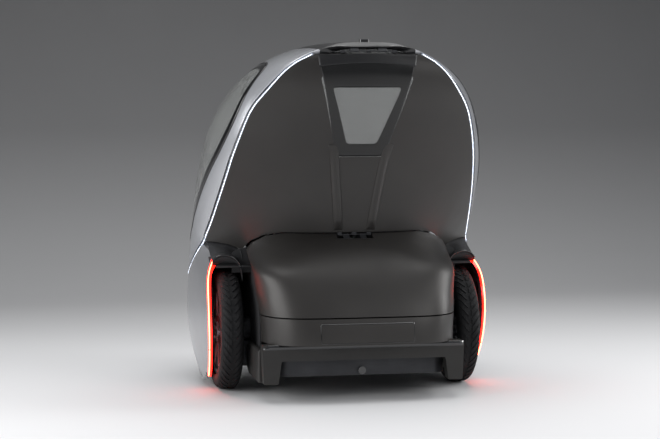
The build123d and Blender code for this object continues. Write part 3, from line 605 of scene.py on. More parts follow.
def dropped_grid(name, flat_rows, skin, body, mat, closed, wall):
    """Joins rows of flat points and their lifts into one sheet on the skin."""
    bm, grid = bmesh.new(), []
    for row in flat_rows:
        spots = [dropped(skin, a, b, lift) for a, b, lift in row]
        grid.append([bm.verts.new(spot) if spot else None for spot in spots])
    for low, high in zip(grid, grid[1:]):
        for i in range(len(low) if closed else len(low) - 1):
            k = (i + 1) % len(low)
            quad = (low[i], low[k], high[k], high[i])
            if all(quad):
                bm.faces.new(quad).smooth = True
    bmesh.ops.delete(bm, geom=[v for v in bm.verts if not v.link_faces], context="VERTS")
    bm.normal_update()
    if sum(face.normal.dot(skin.ray) for face in bm.faces) > 0:
        bmesh.ops.reverse_faces(bm, faces=bm.faces)
    return dress(name, bm, body, mat, wall)


print("trim helpers ready")

# %% Three kinds of sheet
END_EASE = 8


def ribbon(name, line, low, high, skin, body, mat, lift, wall=0.0015, rows=4, closed=True, crown=0.0):
    """Band from low to high beside a line. A crown raises its middle and fades out at its ends."""
    n = len(line)
    norms = sideways(line, closed)
    flat_rows = []
    for j in range(rows + 1):
        away = low + (high - low) * j / rows
        swell = crown * math.sin(math.pi * j / rows)
        flat_rows.append([
            (a + p * away, b + q * away, lift + swell * min(1.0, i / END_EASE, (n - 1 - i) / END_EASE))
            for i, ((a, b), (p, q)) in enumerate(zip(line, norms))])
    return dropped_grid(name, flat_rows, skin, body, mat, closed, wall)


def band_between(name, outer, inner, skin, body, mat, lift, wall, rows):
    """Closed band from one outline to another with as many points."""
    flat_rows = []
    for j in range(rows + 1):
        mixed = [Vector(p).lerp(Vector(q), j / rows) for p, q in zip(outer, inner)]
        flat_rows.append([(a, b, lift) for a, b in mixed])
    return dropped_grid(name, flat_rows, skin, body, mat, True, wall)


def patch(name, outline_at, skin, body, mat, slot, rows, columns, lift, wall=0.0015):
    """Sheet whose flat shape is outline_at(u, v), with u across and v up."""
    flat_rows = [[(*outline_at(i / columns, j / rows), lift) for i in range(columns + 1)]
                 for j in range(rows + 1)]
    return dropped_grid(name, flat_rows, skin, body, mat, False, wall)


print("ribbon, band and patch ready")

# %% [markdown]
# ## Lit line of the side lights
# Each side light is a long grey lens that arches from the flank over the tail,
# with a thin bright line in its middle. A drawn path would never stay in the
# lens, so the path is measured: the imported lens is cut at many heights, and
# the middle of each cut is a point of the line. The points move out by the
# lens's half thickness, back over the tail and sideways on the flank.

# %% Middle of a long thin piece
END_MARGIN = 0.004


def strip_centre(node, count=150):
    """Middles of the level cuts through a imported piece, from its foot to its top."""
    bm = bmesh.new()
    bm.from_mesh(nodes[node].data)
    low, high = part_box(node)
    points = []
    for i in range(count):
        z = low.z + END_MARGIN + (high.z - low.z - 2 * END_MARGIN) * i / (count - 1)
        cut = bm.copy()
        made = bmesh.ops.bisect_plane(
            cut, geom=cut.verts[:] + cut.edges[:] + cut.faces[:], plane_co=(0, 0, z), plane_no=(0, 0, 1))
        ring = [v.co.copy() for v in made["geom_cut"] if isinstance(v, bmesh.types.BMVert)]
        cut.free()
        if ring:
            points.append(sum(ring, Vector()) / len(ring))
    bm.free()
    return points


def tube(name, points, radius, body, mat, steps=8):
    """Round rod along a line of points, closed at both ends."""
    bm, rings = bmesh.new(), []
    for i, p in enumerate(points):
        along = (points[min(i + 1, len(points) - 1)] - points[max(i - 1, 0)]).normalized()
        across = along.cross(Vector((0, 0, 1)) if abs(along.z) < 0.9 else Vector((0, 1, 0))).normalized()
        up = across.cross(along)
        rings.append([bm.verts.new(p + (across * math.cos(a) + up * math.sin(a)) * radius)
                      for a in (2 * math.pi * k / steps for k in range(steps))])
    for a, b in zip(rings, rings[1:]):
        for k in range(steps):
            bm.faces.new((a[k], a[(k + 1) % steps], b[(k + 1) % steps], b[k])).smooth = True
    bm.faces.new(rings[0])
    bm.faces.new(list(reversed(rings[-1])))
    bmesh.ops.recalc_face_normals(bm, faces=bm.faces)
    return dress(name, bm, body, mat)


print("cuts that met the left lens", len(strip_centre("side_light_left", 10)))

# %% Lit lines
LENS_OUT = 0.0015
LINE_RADIUS = 0.0017
FLANK_TOP, FLANK_BLEND = 0.78, 0.12
OVER_TAIL, ON_FLANK = Vector((0.35, 0.8, -0.35)), Vector((1, 0, 0))

for side, name in SIDES:
    lifted = []
    for p in strip_centre(f"side_light_{name}"):
        share = min(1.0, max(0.0, (FLANK_TOP - p.z) / FLANK_BLEND))
        away = OVER_TAIL.lerp(ON_FLANK, share).normalized()
        away.x *= side
        lifted.append(p + away * LENS_OUT)
    tube(f"lit_line_{name}", lifted, LINE_RADIUS, "chassis", led_white)
    print("lit line", name, "points", len(lifted))

# %% [markdown]
# ## Rear window border
# The glass of the tail is a tall trapezium with a wide border fired black, so
# that only a smaller window stays clear. The border could be painted by a
# mask, but glass shaders blend badly with paint, so it is a thin sheet between
# two rounded outlines, dropped on the glass. A fine groove follows its edge,
# drawn as a thin dark ribbon of painted shade.

# %% Rear window border and its groove
GLASS_CORNERS = [(-0.2285, 1.591), (0.2285, 1.591), (0.114, 1.122), (-0.114, 1.122)]
CLEAR_CORNERS = [(-0.160, 1.438), (0.160, 1.438), (0.070, 1.178), (-0.070, 1.178)]
GROOVE_TOP = (0.231, 1.590)
GROOVE_FROM = 1.545
GROOVE_HALF = 0.0018
GROOVE_OFF_GLASS = 0.001

glass_edge = rounded_quad(GLASS_CORNERS, 0.03)
clear_edge = rounded_quad(CLEAR_CORNERS, 0.018)
band_between("rear_window_border", glass_edge, clear_edge, shell, "chassis", frit_black,
             lift=0.0005, wall=0.0012, rows=14)
beside = [GROOVE_TOP] + [(x + GROOVE_OFF_GLASS, z) for x, z in glass_edge if x > 0 and z < GROOVE_FROM]
seam = sorted(beside, key=lambda p: (-p[1], -p[0]))
seam += [(-x, z) for x, z in reversed(seam)]
# The groove's dark line is painted shade: a thin dark ribbon along the glass's edge.
ribbon("rear_window_groove_shade", seam, -GROOVE_HALF, GROOVE_HALF, shell, "chassis", moulded,
       lift=0.0006, wall=0.0004, rows=2, closed=False)
print("border points", len(glass_edge), "groove points", len(seam))

# %% [markdown]
# ## Tail visor
# Above the window, between the upper ends of the lights, a satin black band
# closes the tail against the roof. It is one patch with a slightly sagging
# lower edge, so its shape is a formula rather than a list of points.

# %% Tail visor
VISOR_LOW, VISOR_TOP = 1.548, 1.592
VISOR_SAG = 0.016
VISOR_HALF, VISOR_FLARE = 0.222, 0.008


def visor_shape(u, v):
    low = VISOR_LOW - VISOR_SAG * (2 * u - 1) ** 2
    return (VISOR_HALF + VISOR_FLARE * v) * (2 * u - 1), low + (VISOR_TOP - low) * v


visor = patch("tail_visor", visor_shape, shell, "chassis", roof_black, "shell_paint",
              rows=8, columns=48, lift=0.0030, wall=0.003)
print("visor faces", len(visor.data.polygons))

# %% [markdown]
# ## Walls of the lid's opening
# When the rear lid swings up, the edge of its opening is seen. On the car the
# body sheet turns inward there. A thin wall that runs forward from the edge
# gives that return, and it follows the shell because each of its columns
# starts where a ray from behind meets the shell just outside the opening.

# %% Lid jamb
JAMB_HALF, JAMB_TOP_HALF = 0.434, 0.372
JAMB_LOW, JAMB_BEND, JAMB_TOP = 0.389, 0.692, 0.761
JAMB_RIM = [(-JAMB_HALF, JAMB_LOW), (-JAMB_HALF, JAMB_BEND), (-JAMB_TOP_HALF, JAMB_TOP),
            (JAMB_TOP_HALF, JAMB_TOP), (JAMB_HALF, JAMB_BEND), (JAMB_HALF, JAMB_LOW)]
JAMB_STEPS = 12
JAMB_DEPTH = 0.10
JAMB_INSET = 0.002
OUTWARD_TRIES = (1.004, 1.01, 1.02)
UPWARD_SHARE = 0.6


def shell_beside(x, z):
    """Where the shell is met just outside a point of the opening's rim."""
    for grow in OUTWARD_TRIES:
        start = shell.start(x * grow, z * (1 + (grow - 1) * UPWARD_SHARE))
        hit = shell.tree.ray_cast(start, shell.ray)[0]
        if hit:
            return hit
    return None


def lid_jamb():
    line = []
    for a, b in zip(JAMB_RIM, JAMB_RIM[1:]):
        for t in range(JAMB_STEPS):
            line.append((a[0] + (b[0] - a[0]) * t / JAMB_STEPS, a[1] + (b[1] - a[1]) * t / JAMB_STEPS))
    line.append(JAMB_RIM[-1])
    bm, columns = bmesh.new(), []
    for x, z in line:
        hit = shell_beside(x, z)
        depths = (0, 0.3, 0.6, 1)
        columns.append(hit and [bm.verts.new((x, hit.y - JAMB_INSET - JAMB_DEPTH * t, z)) for t in depths])
    for a, b in zip(columns, columns[1:]):
        if a and b:
            for k in range(3):
                bm.faces.new((a[k], a[k + 1], b[k + 1], b[k])).smooth = True
    return dress("lid_jamb", bm, "chassis", graphite, wall=0.003)


print("jamb faces", len(lid_jamb().data.polygons))

# %% [markdown]
# ## Ridges down the tail
# Two rounded ridges run from the window's lower corners to the top of the lid
# and draw the tail together. They are pressed into the sheet, so they have no
# edge of their own. A ribbon whose middle is raised by a half sine wave has
# the same soft section, and its ends fade out into the shell.

# %% Ridges
RIDGE_PATH = [(0.205, 1.49), (0.161, 1.30), (0.121, 1.125), (0.101, 0.98), (0.086, 0.86), (0.078, 0.772)]
RIDGE_POINTS, RIDGE_START = 70, 23
RIDGE_HALF = 0.022
RIDGE_HEIGHT = 0.011

for side, name in SIDES:
    path = spline_loop([(side * x, z) for x, z in RIDGE_PATH], RIDGE_POINTS, closed=False)[RIDGE_START:]
    ribbon(f"ridge_{name}", path, -RIDGE_HALF, RIDGE_HALF, shell, "chassis", graphite,
           lift=0.0002, wall=0.0004, rows=12, closed=False, crown=RIDGE_HEIGHT)
    print("ridge", name, "points", len(path))

# %% [markdown]
# ## Side window borders
# The side glass is set in a gloss black border with a rubber seal at its outer
# edge. Both are ribbons beside one smooth loop through fifteen points, so they
# stay parallel, and a change to the loop moves them together.

# %% Side window borders
WINDOW = [(0.500, 1.470), (0.470, 1.320), (0.372, 1.180), (0.222, 1.045), (0.055, 0.915),
          (-0.120, 0.790), (-0.270, 0.690), (-0.390, 0.660), (-0.440, 0.760), (-0.420, 0.920),
          (-0.352, 1.110), (-0.190, 1.320), (0.060, 1.468), (0.300, 1.520), (0.455, 1.520)]
BORDER_IN, BORDER_OUT, SEAL_OUT = -0.004, 0.022, 0.026

window_line = spline_loop(WINDOW, 160)
for side, name in SIDES:
    canopy = skin_of((side, 0, 0), "canopy_frame", "side_window_left", "side_window_right", "windscreen")
    ribbon(f"side_window_border_{name}", window_line, BORDER_IN, BORDER_OUT, canopy, "canopy",
           piano_black, lift=0.0005)
    ribbon(f"side_window_seal_{name}", window_line, BORDER_OUT, SEAL_OUT, canopy, "canopy",
           moulded, lift=0.0010, wall=0.002)
    print("side window border", name)

# %% [markdown]
# ## Arch liners
# Behind the tail's lower corners a moulded liner hangs down to the top of each
# wheel well and hides the works. It is a short curved sheet from the shell's
# edge to a rolled lip. Its upper edge has to follow the shell, so rays find
# it there, and the rest is a bulge between that edge and the lip's own line.

# %% Arch liner sheet and lip
LINER_TOP = [(0.636, 0.699), (0.600, 0.694), (0.560, 0.690), (0.530, 0.680), (0.508, 0.668),
             (0.497, 0.640), (0.493, 0.590)]
LINER_LIP = [(0.640, 0.614), (0.620, 0.636), (0.588, 0.645), (0.548, 0.637), (0.518, 0.612),
             (0.502, 0.570), (0.496, 0.520)]
LINER_POINTS = 37
LIP_Y, END_Y, INNER_Y = 0.242, 0.215, 0.225
END_Z = 0.592
SHELL_FROM = 0.66
LINER_BULGE = 0.025
LIP_RADIUS, LIP_SHORT = 0.004, 8


def liner_top(side, x, z):
    """Upper edge of the liner: just inside the shell where a ray meets it."""
    starts = [shell.start(side * x * k, z + 0.006) for k in (1.0, 0.99, 0.97, 0.95)]
    hits = [shell.tree.ray_cast(start, shell.ray)[0] for start in starts]
    meets = [hit.y for hit in hits if hit]
    y = min(meets) - 0.020 if meets and z > SHELL_FROM else INNER_Y
    return Vector((side * x, y, z + 0.004))


def arch_liner(side, name):
    tops = spline_loop(LINER_TOP, LINER_POINTS, closed=False)
    lips = spline_loop(LINER_LIP, LINER_POINTS, closed=False)
    bm, columns, lip = bmesh.new(), [], []
    for (x, z), (lip_x, lip_z) in zip(tops, lips):
        top = liner_top(side, x, z)
        low = Vector((side * lip_x, LIP_Y, lip_z))
        end = Vector((side * lip_x, END_Y, min(lip_z - 0.008, END_Z)))
        lip.append(low)
        bulge = [top.lerp(low, t) - Vector((0, LINER_BULGE * math.sin(math.pi * t), 0))
                 for t in (0, 0.25, 0.5, 0.75, 1)]
        columns.append([bm.verts.new(p) for p in bulge + [low.lerp(end, 0.5), end]])
    for a, b in zip(columns, columns[1:]):
        for k in range(len(a) - 1):
            quad = (a[k], b[k], b[k + 1], a[k + 1])
            bm.faces.new(quad if side > 0 else tuple(reversed(quad))).smooth = True
    dress(f"arch_liner_{name}", bm, "chassis", moulded, wall=0.003)
    tube(f"arch_lip_{name}", lip[:-LIP_SHORT], LIP_RADIUS, "chassis", piano_black)


print("upper edge of the left liner starts at", liner_top(1, *LINER_TOP[0]))

# %% [markdown]
# ## Arch plates
# Between the liner and the wheel well a flat plate closes the last gap, as a
# splash guard does on the car. One five-sided face with a wall is enough.
# Liner, lip and plate are then made for each arch in turn.

# %% Arch plate, and both arches
PLATE = [(0.450, 0.560), (0.545, 0.560), (0.545, 0.655), (0.515, 0.672), (0.450, 0.685)]
PLATE_Y = 0.218


def arch_plate(side, name):
    bm = bmesh.new()
    bm.faces.new([bm.verts.new((side * x, PLATE_Y, z)) for x, z in PLATE])
    dress(f"arch_plate_{name}", bm, "chassis", moulded, wall=0.004)


for side, name in SIDES:
    arch_liner(side, name)
    arch_plate(side, name)
    print("arch", name)

# %% [markdown]
# ## Tail light cores
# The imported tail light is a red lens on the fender's rim. Inside it the diodes
# make a thinner, hotter line, and the dark wall inside the rim catches their
# light. Both run round the same circle as the lens. How far out they stand is
# measured on the fender with rays, because the fender is domed.

# %% Cores and rim bands
CORE_FROM, CORE_SPAN, CORE_STEPS = -62, 130, 60
PROBE_R, CORE_R, BAND_R = 0.3345, 0.3375, 0.331
CORE_INSET, CORE_RADIUS = 0.003, 0.0028
BAND_INSET, BAND_FOOT_X, BAND_DROP = 0.016, 0.662, 0.010


def ring_point(side, angle, radius, x):
    """Point on the light's circle, angle degrees up from straight back."""
    a = math.radians(angle)
    return Vector((side * x, LIGHT_CENTRE[0] + radius * math.cos(a), LIGHT_CENTRE[1] + radius * math.sin(a)))


def rim_sweep(side, flank):
    """Angles round the rim, and how far out the fender stands at each."""
    sweep = []
    for k in range(CORE_STEPS + 1):
        angle = CORE_FROM + CORE_SPAN * k / CORE_STEPS
        hit = flank.tree.ray_cast(ring_point(side, angle, PROBE_R, OUTSIDE), flank.ray)[0]
        if hit:
            sweep.append((angle, abs(hit.x)))
    return sweep


def tail_core(side, name, sweep):
    core = [ring_point(side, angle, CORE_R, x - CORE_INSET) for angle, x in sweep]
    tube(f"tail_core_{name}", core, CORE_RADIUS, "chassis", core_red)


def rim_band(side, name, sweep):
    bm, columns = bmesh.new(), []
    for angle, x in sweep:
        column = []
        for t in (0, 0.35, 0.7, 1):
            inward = BAND_INSET + (x - BAND_FOOT_X) * t
            column.append(bm.verts.new(ring_point(side, angle, BAND_R - BAND_DROP * t, x - inward)))
        columns.append(column)
    for a, b in zip(columns, columns[1:]):
        for k in range(3):
            quad = (a[k], a[k + 1], b[k + 1], b[k])
            bm.faces.new(quad if side < 0 else tuple(reversed(quad))).smooth = True
    dress(f"rim_band_{name}", bm, "chassis", moulded, wall=0.002)


flanks = {name: skin_of((side, 0, 0), f"fender_{name}", f"tail_light_{name}") for side, name in SIDES}
print("angles where the left rim is met", len(rim_sweep(1, flanks["left"])))

# %% [markdown]
# ## Fender edge lines
# The lower front of each fender carries a fine black line along its edge.
# It is a ribbon round the same centre as the tail light, on a slightly
# smaller circle.

# %% Fender edge line, and both fenders
LIP_R, LIP_HALF = 0.320, 0.005
LIP_ANGLES = range(-160, -60, 3)


def fender_edge_line(name):
    edge = [ring_point(1, angle, LIP_R, 0).yz for angle in LIP_ANGLES]
    ribbon(f"fender_edge_line_{name}", edge, -LIP_HALF, LIP_HALF, flanks[name], "chassis", piano_black,
           lift=0.0006, closed=False)


for side, name in SIDES:
    sweep = rim_sweep(side, flanks[name])
    tail_core(side, name, sweep)
    rim_band(side, name, sweep)
    fender_edge_line(name)
    print("tail light core", name, "points", len(sweep))

# %% [markdown]
# ## Painted shade in the plate groove and the cover gap
# The blank number plate sits in a pressed frame, and the cover below the
# bumper hangs in its shadow. A groove this fine would cost thousands of faces
# in the bumper itself. Laid on top as a dark ribbon of painted shade it costs a
# few dozen and reads the same. The shadow of the gap above the cover is painted
# the same way, as a near-black strip on the cover's top.

# %% Painted shade: plate groove and cover gap
PLATE_CORNERS = [(-0.217, 0.366), (0.217, 0.366), (0.217, 0.278), (-0.217, 0.278)]
PLATE_GROOVE_HALF = 0.0016
GAP_HALF, GAP_LOW, GAP_HEIGHT = 0.470, 0.2445, 0.0225

tail = skin_of(BACK, "rear_bumper", "number_panel")
cover = skin_of(BACK, "rear_cover")
plate_edge = rounded_quad(PLATE_CORNERS, 0.006, steps=3)
# The groove is painted shade: a dark ribbon laid round the plate.
ribbon("plate_groove_shade", plate_edge, -PLATE_GROOVE_HALF, PLATE_GROOVE_HALF, tail, "chassis", piano_black,
       lift=0.0008, wall=0.0008, rows=2)


def gap_shape(u, v):
    return GAP_HALF * (2 * u - 1), GAP_LOW + GAP_HEIGHT * v


# The shadow gap under the bumper is painted shade: a near-black strip along the cover's top.
gap = patch("cover_gap_shade", gap_shape, cover, "chassis", piano_black, "dark_plastic",
            rows=2, columns=60, lift=0.0006, wall=0.0008)
print("gap faces", len(gap.data.polygons))

# %% [markdown]
# ## Cover sides
# The cover under the bumper wraps round to the wheels. Each side is a plate
# cut to one outline and given two faces and a rim. A Bevel modifier rounds all
# its edges, as a moulding has them, which is quicker than rounding the outline
# point by point.

# %% Cover sides
SIDE_OUTLINE = [(0.600, 0.240), (0.300, 0.240), (0.262, 0.215), (0.250, 0.175), (0.262, 0.120),
                (0.330, 0.092), (0.600, 0.087)]
SIDE_INNER_X, SIDE_OUTER_X = 0.458, 0.484
SIDE_ROUND, SIDE_SEGMENTS = 0.010, 4


def cover_side(side, name):
    bm, faces = bmesh.new(), []
    for x in (SIDE_INNER_X, SIDE_OUTER_X):
        faces.append([bm.verts.new((side * x, y, z)) for y, z in SIDE_OUTLINE])
    inner, outer = faces
    bm.faces.new(inner)
    bm.faces.new(list(reversed(outer)))
    for i in range(len(SIDE_OUTLINE)):
        k = (i + 1) % len(SIDE_OUTLINE)
        bm.faces.new((inner[i], inner[k], outer[k], outer[i]))
    bmesh.ops.recalc_face_normals(bm, faces=bm.faces)
    piece = dress(f"cover_side_{name}", bm, "chassis", cover_grey)
    soft = piece.modifiers.new("round", "BEVEL")
    soft.width = SIDE_ROUND
    soft.segments = SIDE_SEGMENTS


for side, name in SIDES:
    cover_side(side, name)
    print("cover side", name)

# %% [markdown]
# ## Tyre carcass
# A tyre is a turned shape: beads on the rim, bulged walls and a round-
# shouldered crown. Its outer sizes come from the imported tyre, so it fills the
# same space. Turning a profile in code gives even rings, which shade better
# than a Screw modifier's seam. The crown is kept as a function, because the
# tread has to lie on the same curve.

# %% Tyre profile
tyre_low, tyre_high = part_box("tyre_left")
TYRE_R = (tyre_high.z - tyre_low.z) / 2
TYRE_HALF = (tyre_high.x - tyre_low.x) / 2
SHOULDER = 0.034
BEAD_R = 0.2122
TREAD_DEPTH = 0.0045


def crown(x):
    """Radius of the tread's outside at a distance from the tyre's middle."""
    over = max(0.0, abs(x) - (TYRE_HALF - SHOULDER))
    return TYRE_R - SHOULDER + math.sqrt(max(0.0, SHOULDER ** 2 - over ** 2))


def tyre_profile():
    """Outline of the carcass from one bead over the crown to the other, as (x, radius)."""
    wall = [(TYRE_HALF - 0.0045, BEAD_R), (TYRE_HALF - 0.0015, BEAD_R + 0.008),
            (TYRE_HALF - 0.0005, BEAD_R + 0.020), (TYRE_HALF - 0.0005, BEAD_R + 0.030)]
    over = []
    for k in range(15):
        x = (TYRE_HALF - 0.001) * (1 - 2 * k / 14)
        over.append((x, crown(x * 0.985) - TREAD_DEPTH))
    return wall + over + [(-x, r) for x, r in reversed(wall)]


def turned(name, profile, steps, centre, body, mat):
    """Closed profile turned round the X axis through a centre."""
    bm, rings = bmesh.new(), []
    for k in range(steps):
        a = 2 * math.pi * k / steps
        rings.append([bm.verts.new((centre.x + x, centre.y + r * math.cos(a), centre.z + r * math.sin(a)))
                      for x, r in profile])
    n = len(profile)
    for a, b in zip(rings, rings[1:] + rings[:1]):
        for i in range(n):
            j = (i + 1) % n
            bm.faces.new((a[i], a[j], b[j], b[i])).smooth = True
    bmesh.ops.recalc_face_normals(bm, faces=bm.faces)
    return dress(name, bm, body, mat)


print("tyre radius", round(TYRE_R, 4), "half width", round(TYRE_HALF, 4))

# %% [markdown]
# ## One tread rib
# The tread is one curved rib pressed again and again round the wheel. Each rib
# sweeps back towards both shoulders, so the wheel has a direction, and it is
# cut through in the middle by the drainage groove. Only this rib is modelled,
# in a few dozen faces, because it will be repeated forty-six times.

# %% Tread rib
RIBS = 46
RIB_HALF = 0.0475
RIB_STEPS = 12
RIB_SWEEP, RIB_BEND = 1.5, 1.3
RIB_SECTION = ((-0.36, 0.0065), (-0.33, 0.0002), (0.33, 0.0002), (0.36, 0.0065))
GROOVE_STEPS = (5, 6)


def mesh_of(name, bm):
    """Plain mesh of a bmesh that a tree will repeat."""
    mesh = bpy.data.meshes.new(name)
    bm.to_mesh(mesh)
    bm.free()
    return mesh


def rib_mesh():
    pitch = 2 * math.pi / RIBS
    bm, rows = bmesh.new(), []
    for i in range(RIB_STEPS + 1):
        x = RIB_HALF * (2 * i / RIB_STEPS - 1)
        sweep = RIB_SWEEP * pitch * (abs(x) / RIB_HALF) ** RIB_BEND
        row = []
        for share, drop in RIB_SECTION:
            a = share * pitch + sweep
            r = crown(x) - drop
            row.append(bm.verts.new((x, r * math.cos(a), r * math.sin(a))))
        rows.append(row)
    for i, (a, b) in enumerate(zip(rows, rows[1:])):
        if i not in GROOVE_STEPS:
            for k in range(3):
                bm.faces.new((a[k], a[k + 1], b[k + 1], b[k])).smooth = False
    bmesh.ops.delete(bm, geom=[v for v in bm.verts if not v.link_faces], context="VERTS")
    bmesh.ops.recalc_face_normals(bm, faces=bm.faces)
    return mesh_of("tread_rib", bm)


print("rib pitch in degrees", round(360 / RIBS, 2))

# %% [markdown]
# ## A tree that repeats round an axle
# A tyre mould repeats its pitch, and so does this Geometry Nodes tree: it
# makes as many points as it is told, turns point number i by i steps of the
# full circle, and puts the input mesh on each. Realize Instances makes them
# real faces, because an export drops instances, and Set Material paints them.
# The same tree serves the tread, the wheel's ribs and its bolts.

# %% Ring tree
def ring_tree():
    tree = bpy.data.node_groups.new("repeat_round", "GeometryNodeTree")
    face = tree.interface
    face.new_socket("Geometry", in_out="INPUT", socket_type="NodeSocketGeometry")
    count = face.new_socket("Count", in_out="INPUT", socket_type="NodeSocketInt")
    finish = face.new_socket("Material", in_out="INPUT", socket_type="NodeSocketMaterial")
    face.new_socket("Geometry", in_out="OUTPUT", socket_type="NodeSocketGeometry")
    ins = tree.nodes.new("NodeGroupInput")
    outs = tree.nodes.new("NodeGroupOutput")
    points = tree.nodes.new("GeometryNodePoints")
    index = tree.nodes.new("GeometryNodeInputIndex")
    turn = tree.nodes.new("ShaderNodeCombineXYZ")
    place = tree.nodes.new("GeometryNodeInstanceOnPoints")
    real = tree.nodes.new("GeometryNodeRealizeInstances")
    paint = tree.nodes.new("GeometryNodeSetMaterial")
    step = maths(tree, "DIVIDE", 2 * math.pi, ins.outputs["Count"])
    angle = maths(tree, "MULTIPLY", index.outputs[0], step)
    tree.links.new(ins.outputs["Count"], points.inputs["Count"])
    tree.links.new(angle, turn.inputs["X"])
    tree.links.new(points.outputs[0], place.inputs["Points"])
    tree.links.new(ins.outputs["Geometry"], place.inputs["Instance"])
    tree.links.new(turn.outputs[0], place.inputs["Rotation"])
    tree.links.new(place.outputs[0], real.inputs[0])
    tree.links.new(real.outputs[0], paint.inputs["Geometry"])
    tree.links.new(ins.outputs["Material"], paint.inputs["Material"])
    tree.links.new(paint.outputs[0], outs.inputs[0])
    return tree, count.identifier, finish.identifier


repeat_round, count_id, finish_id = ring_tree()


def repeated(name, mesh, count, centre, body, mat):
    """Runs the ring tree on a mesh and keeps the result as a plain mesh at its place."""
    seed = new_object(name + "_seed", mesh)
    mod = seed.modifiers.new("ring", "NODES")
    mod.node_group = repeat_round
    mod[count_id] = count
    mod[finish_id] = mat
    bpy.context.view_layer.update()
    graph = bpy.context.evaluated_depsgraph_get()
    made = bpy.data.meshes.new_from_object(seed.evaluated_get(graph))
    made.transform(Matrix.Translation(centre))
    bpy.data.objects.remove(seed)
    obj = new_object(name, made)
    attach(obj, body)
    return obj


print("ring tree nodes", len(repeat_round.nodes))

# %% Both tyres
TYRE_STEPS = 96
hubs = {}
for _, name in SIDES:
    low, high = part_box(f"tyre_{name}")
    hubs[name] = (low + high) / 2
    body = f"wheel_{name}"
    carcass = turned(f"carcass_{name}", tyre_profile(), TYRE_STEPS, hubs[name], body, rubber)
    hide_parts(f"tyre_{name}")
    tread = repeated(f"tread_{name}", rib_mesh(), RIBS, hubs[name], body, rubber)
    print("tread faces", name, len(tread.data.polygons))

# %% [markdown]
# ## Wheel ribs and bolts
# The cast disc inside the rim has nine tapering ribs on each face and five
# hexagon bolts round its hub. Both repeat round the axle, so one rib and one
# bolt are modelled for each face and the ring tree does the rest.

# %% Wheel rib
DISC_FACES = ((0.035, 0.007), (-0.015, -0.007))
RIB_STATIONS = ((0.066, 0.014), (0.120, 0.010), (0.178, 0.018))
RIB_SUNK, RIB_TAPER = 0.3, 0.7


def wheel_rib():
    """One radial rib on each side of the wheel's disc, tapering outward."""
    bm = bmesh.new()
    for face_x, out in DISC_FACES:
        low, high = [], []
        for r, half in RIB_STATIONS:
            low.append([bm.verts.new((face_x - out * RIB_SUNK, s * half, r)) for s in (-1, 1)])
            high.append([bm.verts.new((face_x + out, s * half * RIB_TAPER, r)) for s in (-1, 1)])
        for i in range(2):
            bm.faces.new((high[i][0], high[i][1], high[i + 1][1], high[i + 1][0]))
            for s in (0, 1):
                bm.faces.new((low[i][s], high[i][s], high[i + 1][s], low[i + 1][s]))
            bm.faces.new((low[i][1], low[i][0], low[i + 1][0], low[i + 1][1]))
        for i in (0, 2):
            bm.faces.new((low[i][0], low[i][1], high[i][1], high[i][0]))
    bmesh.ops.recalc_face_normals(bm, faces=bm.faces)
    return mesh_of("wheel_rib", bm)


print("rib length", RIB_STATIONS[-1][0] - RIB_STATIONS[0][0])

# %% Wheel bolt, and both wheels
BOLT_FACES = (0.047, -0.047)
BOLT_CIRCLE, BOLT_R, BOLT_LENGTH = 0.044, 0.0085, 0.008
WHEEL_RIBS, WHEEL_BOLTS = 9, 5


def wheel_bolt():
    bm = bmesh.new()
    lying = Matrix.Rotation(math.pi / 2, 4, "Y")
    for x in BOLT_FACES:
        bmesh.ops.create_cone(
            bm, cap_ends=True, segments=6, radius1=BOLT_R, radius2=BOLT_R, depth=BOLT_LENGTH,
            matrix=Matrix.Translation((x, 0, BOLT_CIRCLE)) @ lying)
    return mesh_of("wheel_bolt", bm)


for _, name in SIDES:
    body = f"wheel_{name}"
    repeated(f"wheel_ribs_{name}", wheel_rib(), WHEEL_RIBS, hubs[name], body, alloy)
    repeated(f"wheel_bolts_{name}", wheel_bolt(), WHEEL_BOLTS, hubs[name], body, pin_steel)
    print("ribs and bolts", name, WHEEL_RIBS, WHEEL_BOLTS)

# %% [markdown]
# ## Woven cover
# The seats wear a coarse dark weave. Threads cross at right angles and the
# upper one always shows, which is what the larger of two crossed waves gives.
# The waves run on Object coordinates, because the cushions are remeshed and
# keep no unwrapping. A little sheen stands for the fibres that stick out.

# %% Woven cover
THREADS = 160.0
FABRIC_SHEEN = 0.3


def weave_group():
    group, ins, outs, place = effect_group("weave", [("Scale", 900.0)], "Height")
    waves = []
    for axis in ("X", "Y"):
        wave = group.nodes.new("ShaderNodeTexWave")
        wave.bands_direction = axis
        group.links.new(place.outputs["Object"], wave.inputs["Vector"])
        group.links.new(ins.outputs["Scale"], wave.inputs["Scale"])
        waves.append(wave.outputs["Fac"])
    group.links.new(maths(group, "MAXIMUM", *waves), outs.inputs["Height"])
    return group


fabric = material(
    "woven_cover", (0.045, 0.047, 0.052), (0.075, 0.077, 0.083), 0.85, patch=14.0,
    grain=(900.0, 0.2), specular=0.2)
fabric_tree = fabric.node_tree
fabric_tree.nodes["Principled BSDF"].inputs["Sheen Weight"].default_value = FABRIC_SHEEN
threads = use_group(fabric, weave_group(), Scale=THREADS)
bump = next(node for node in fabric_tree.nodes if node.bl_idname == "ShaderNodeBump")
fabric_tree.links.new(threads.outputs["Height"], bump.inputs["Height"])
print("fabric", fabric.name, "threads", THREADS)

# %% [markdown]
# ## Cushion blocks
# Each cushion is foam in a cover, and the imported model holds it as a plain
# solid. The padded one starts as a block a little inside that solid, because
# it will swell. The seat's block is crowned, and the backrest's leans with the
# packed backrest. Corners are drawn in, since foam never fills them.

# %% Cushion start
SHRINK = 0.010
BACK_FRONT, BACK_REAR = (0.150, 0.150), (0.240, 0.120)
CORNER_DRAW, BACK_WAIST, SEAT_CROWN = 0.05, 0.25, 0.12


def is_back(node):
    return "back" in node


def leaning(line, low, high, z):
    """Y of a leaning face of the backrest at a height, from its foot and its whole lean."""
    foot, lean = line
    return foot + lean * (z - low.z) / (high.z - low.z)


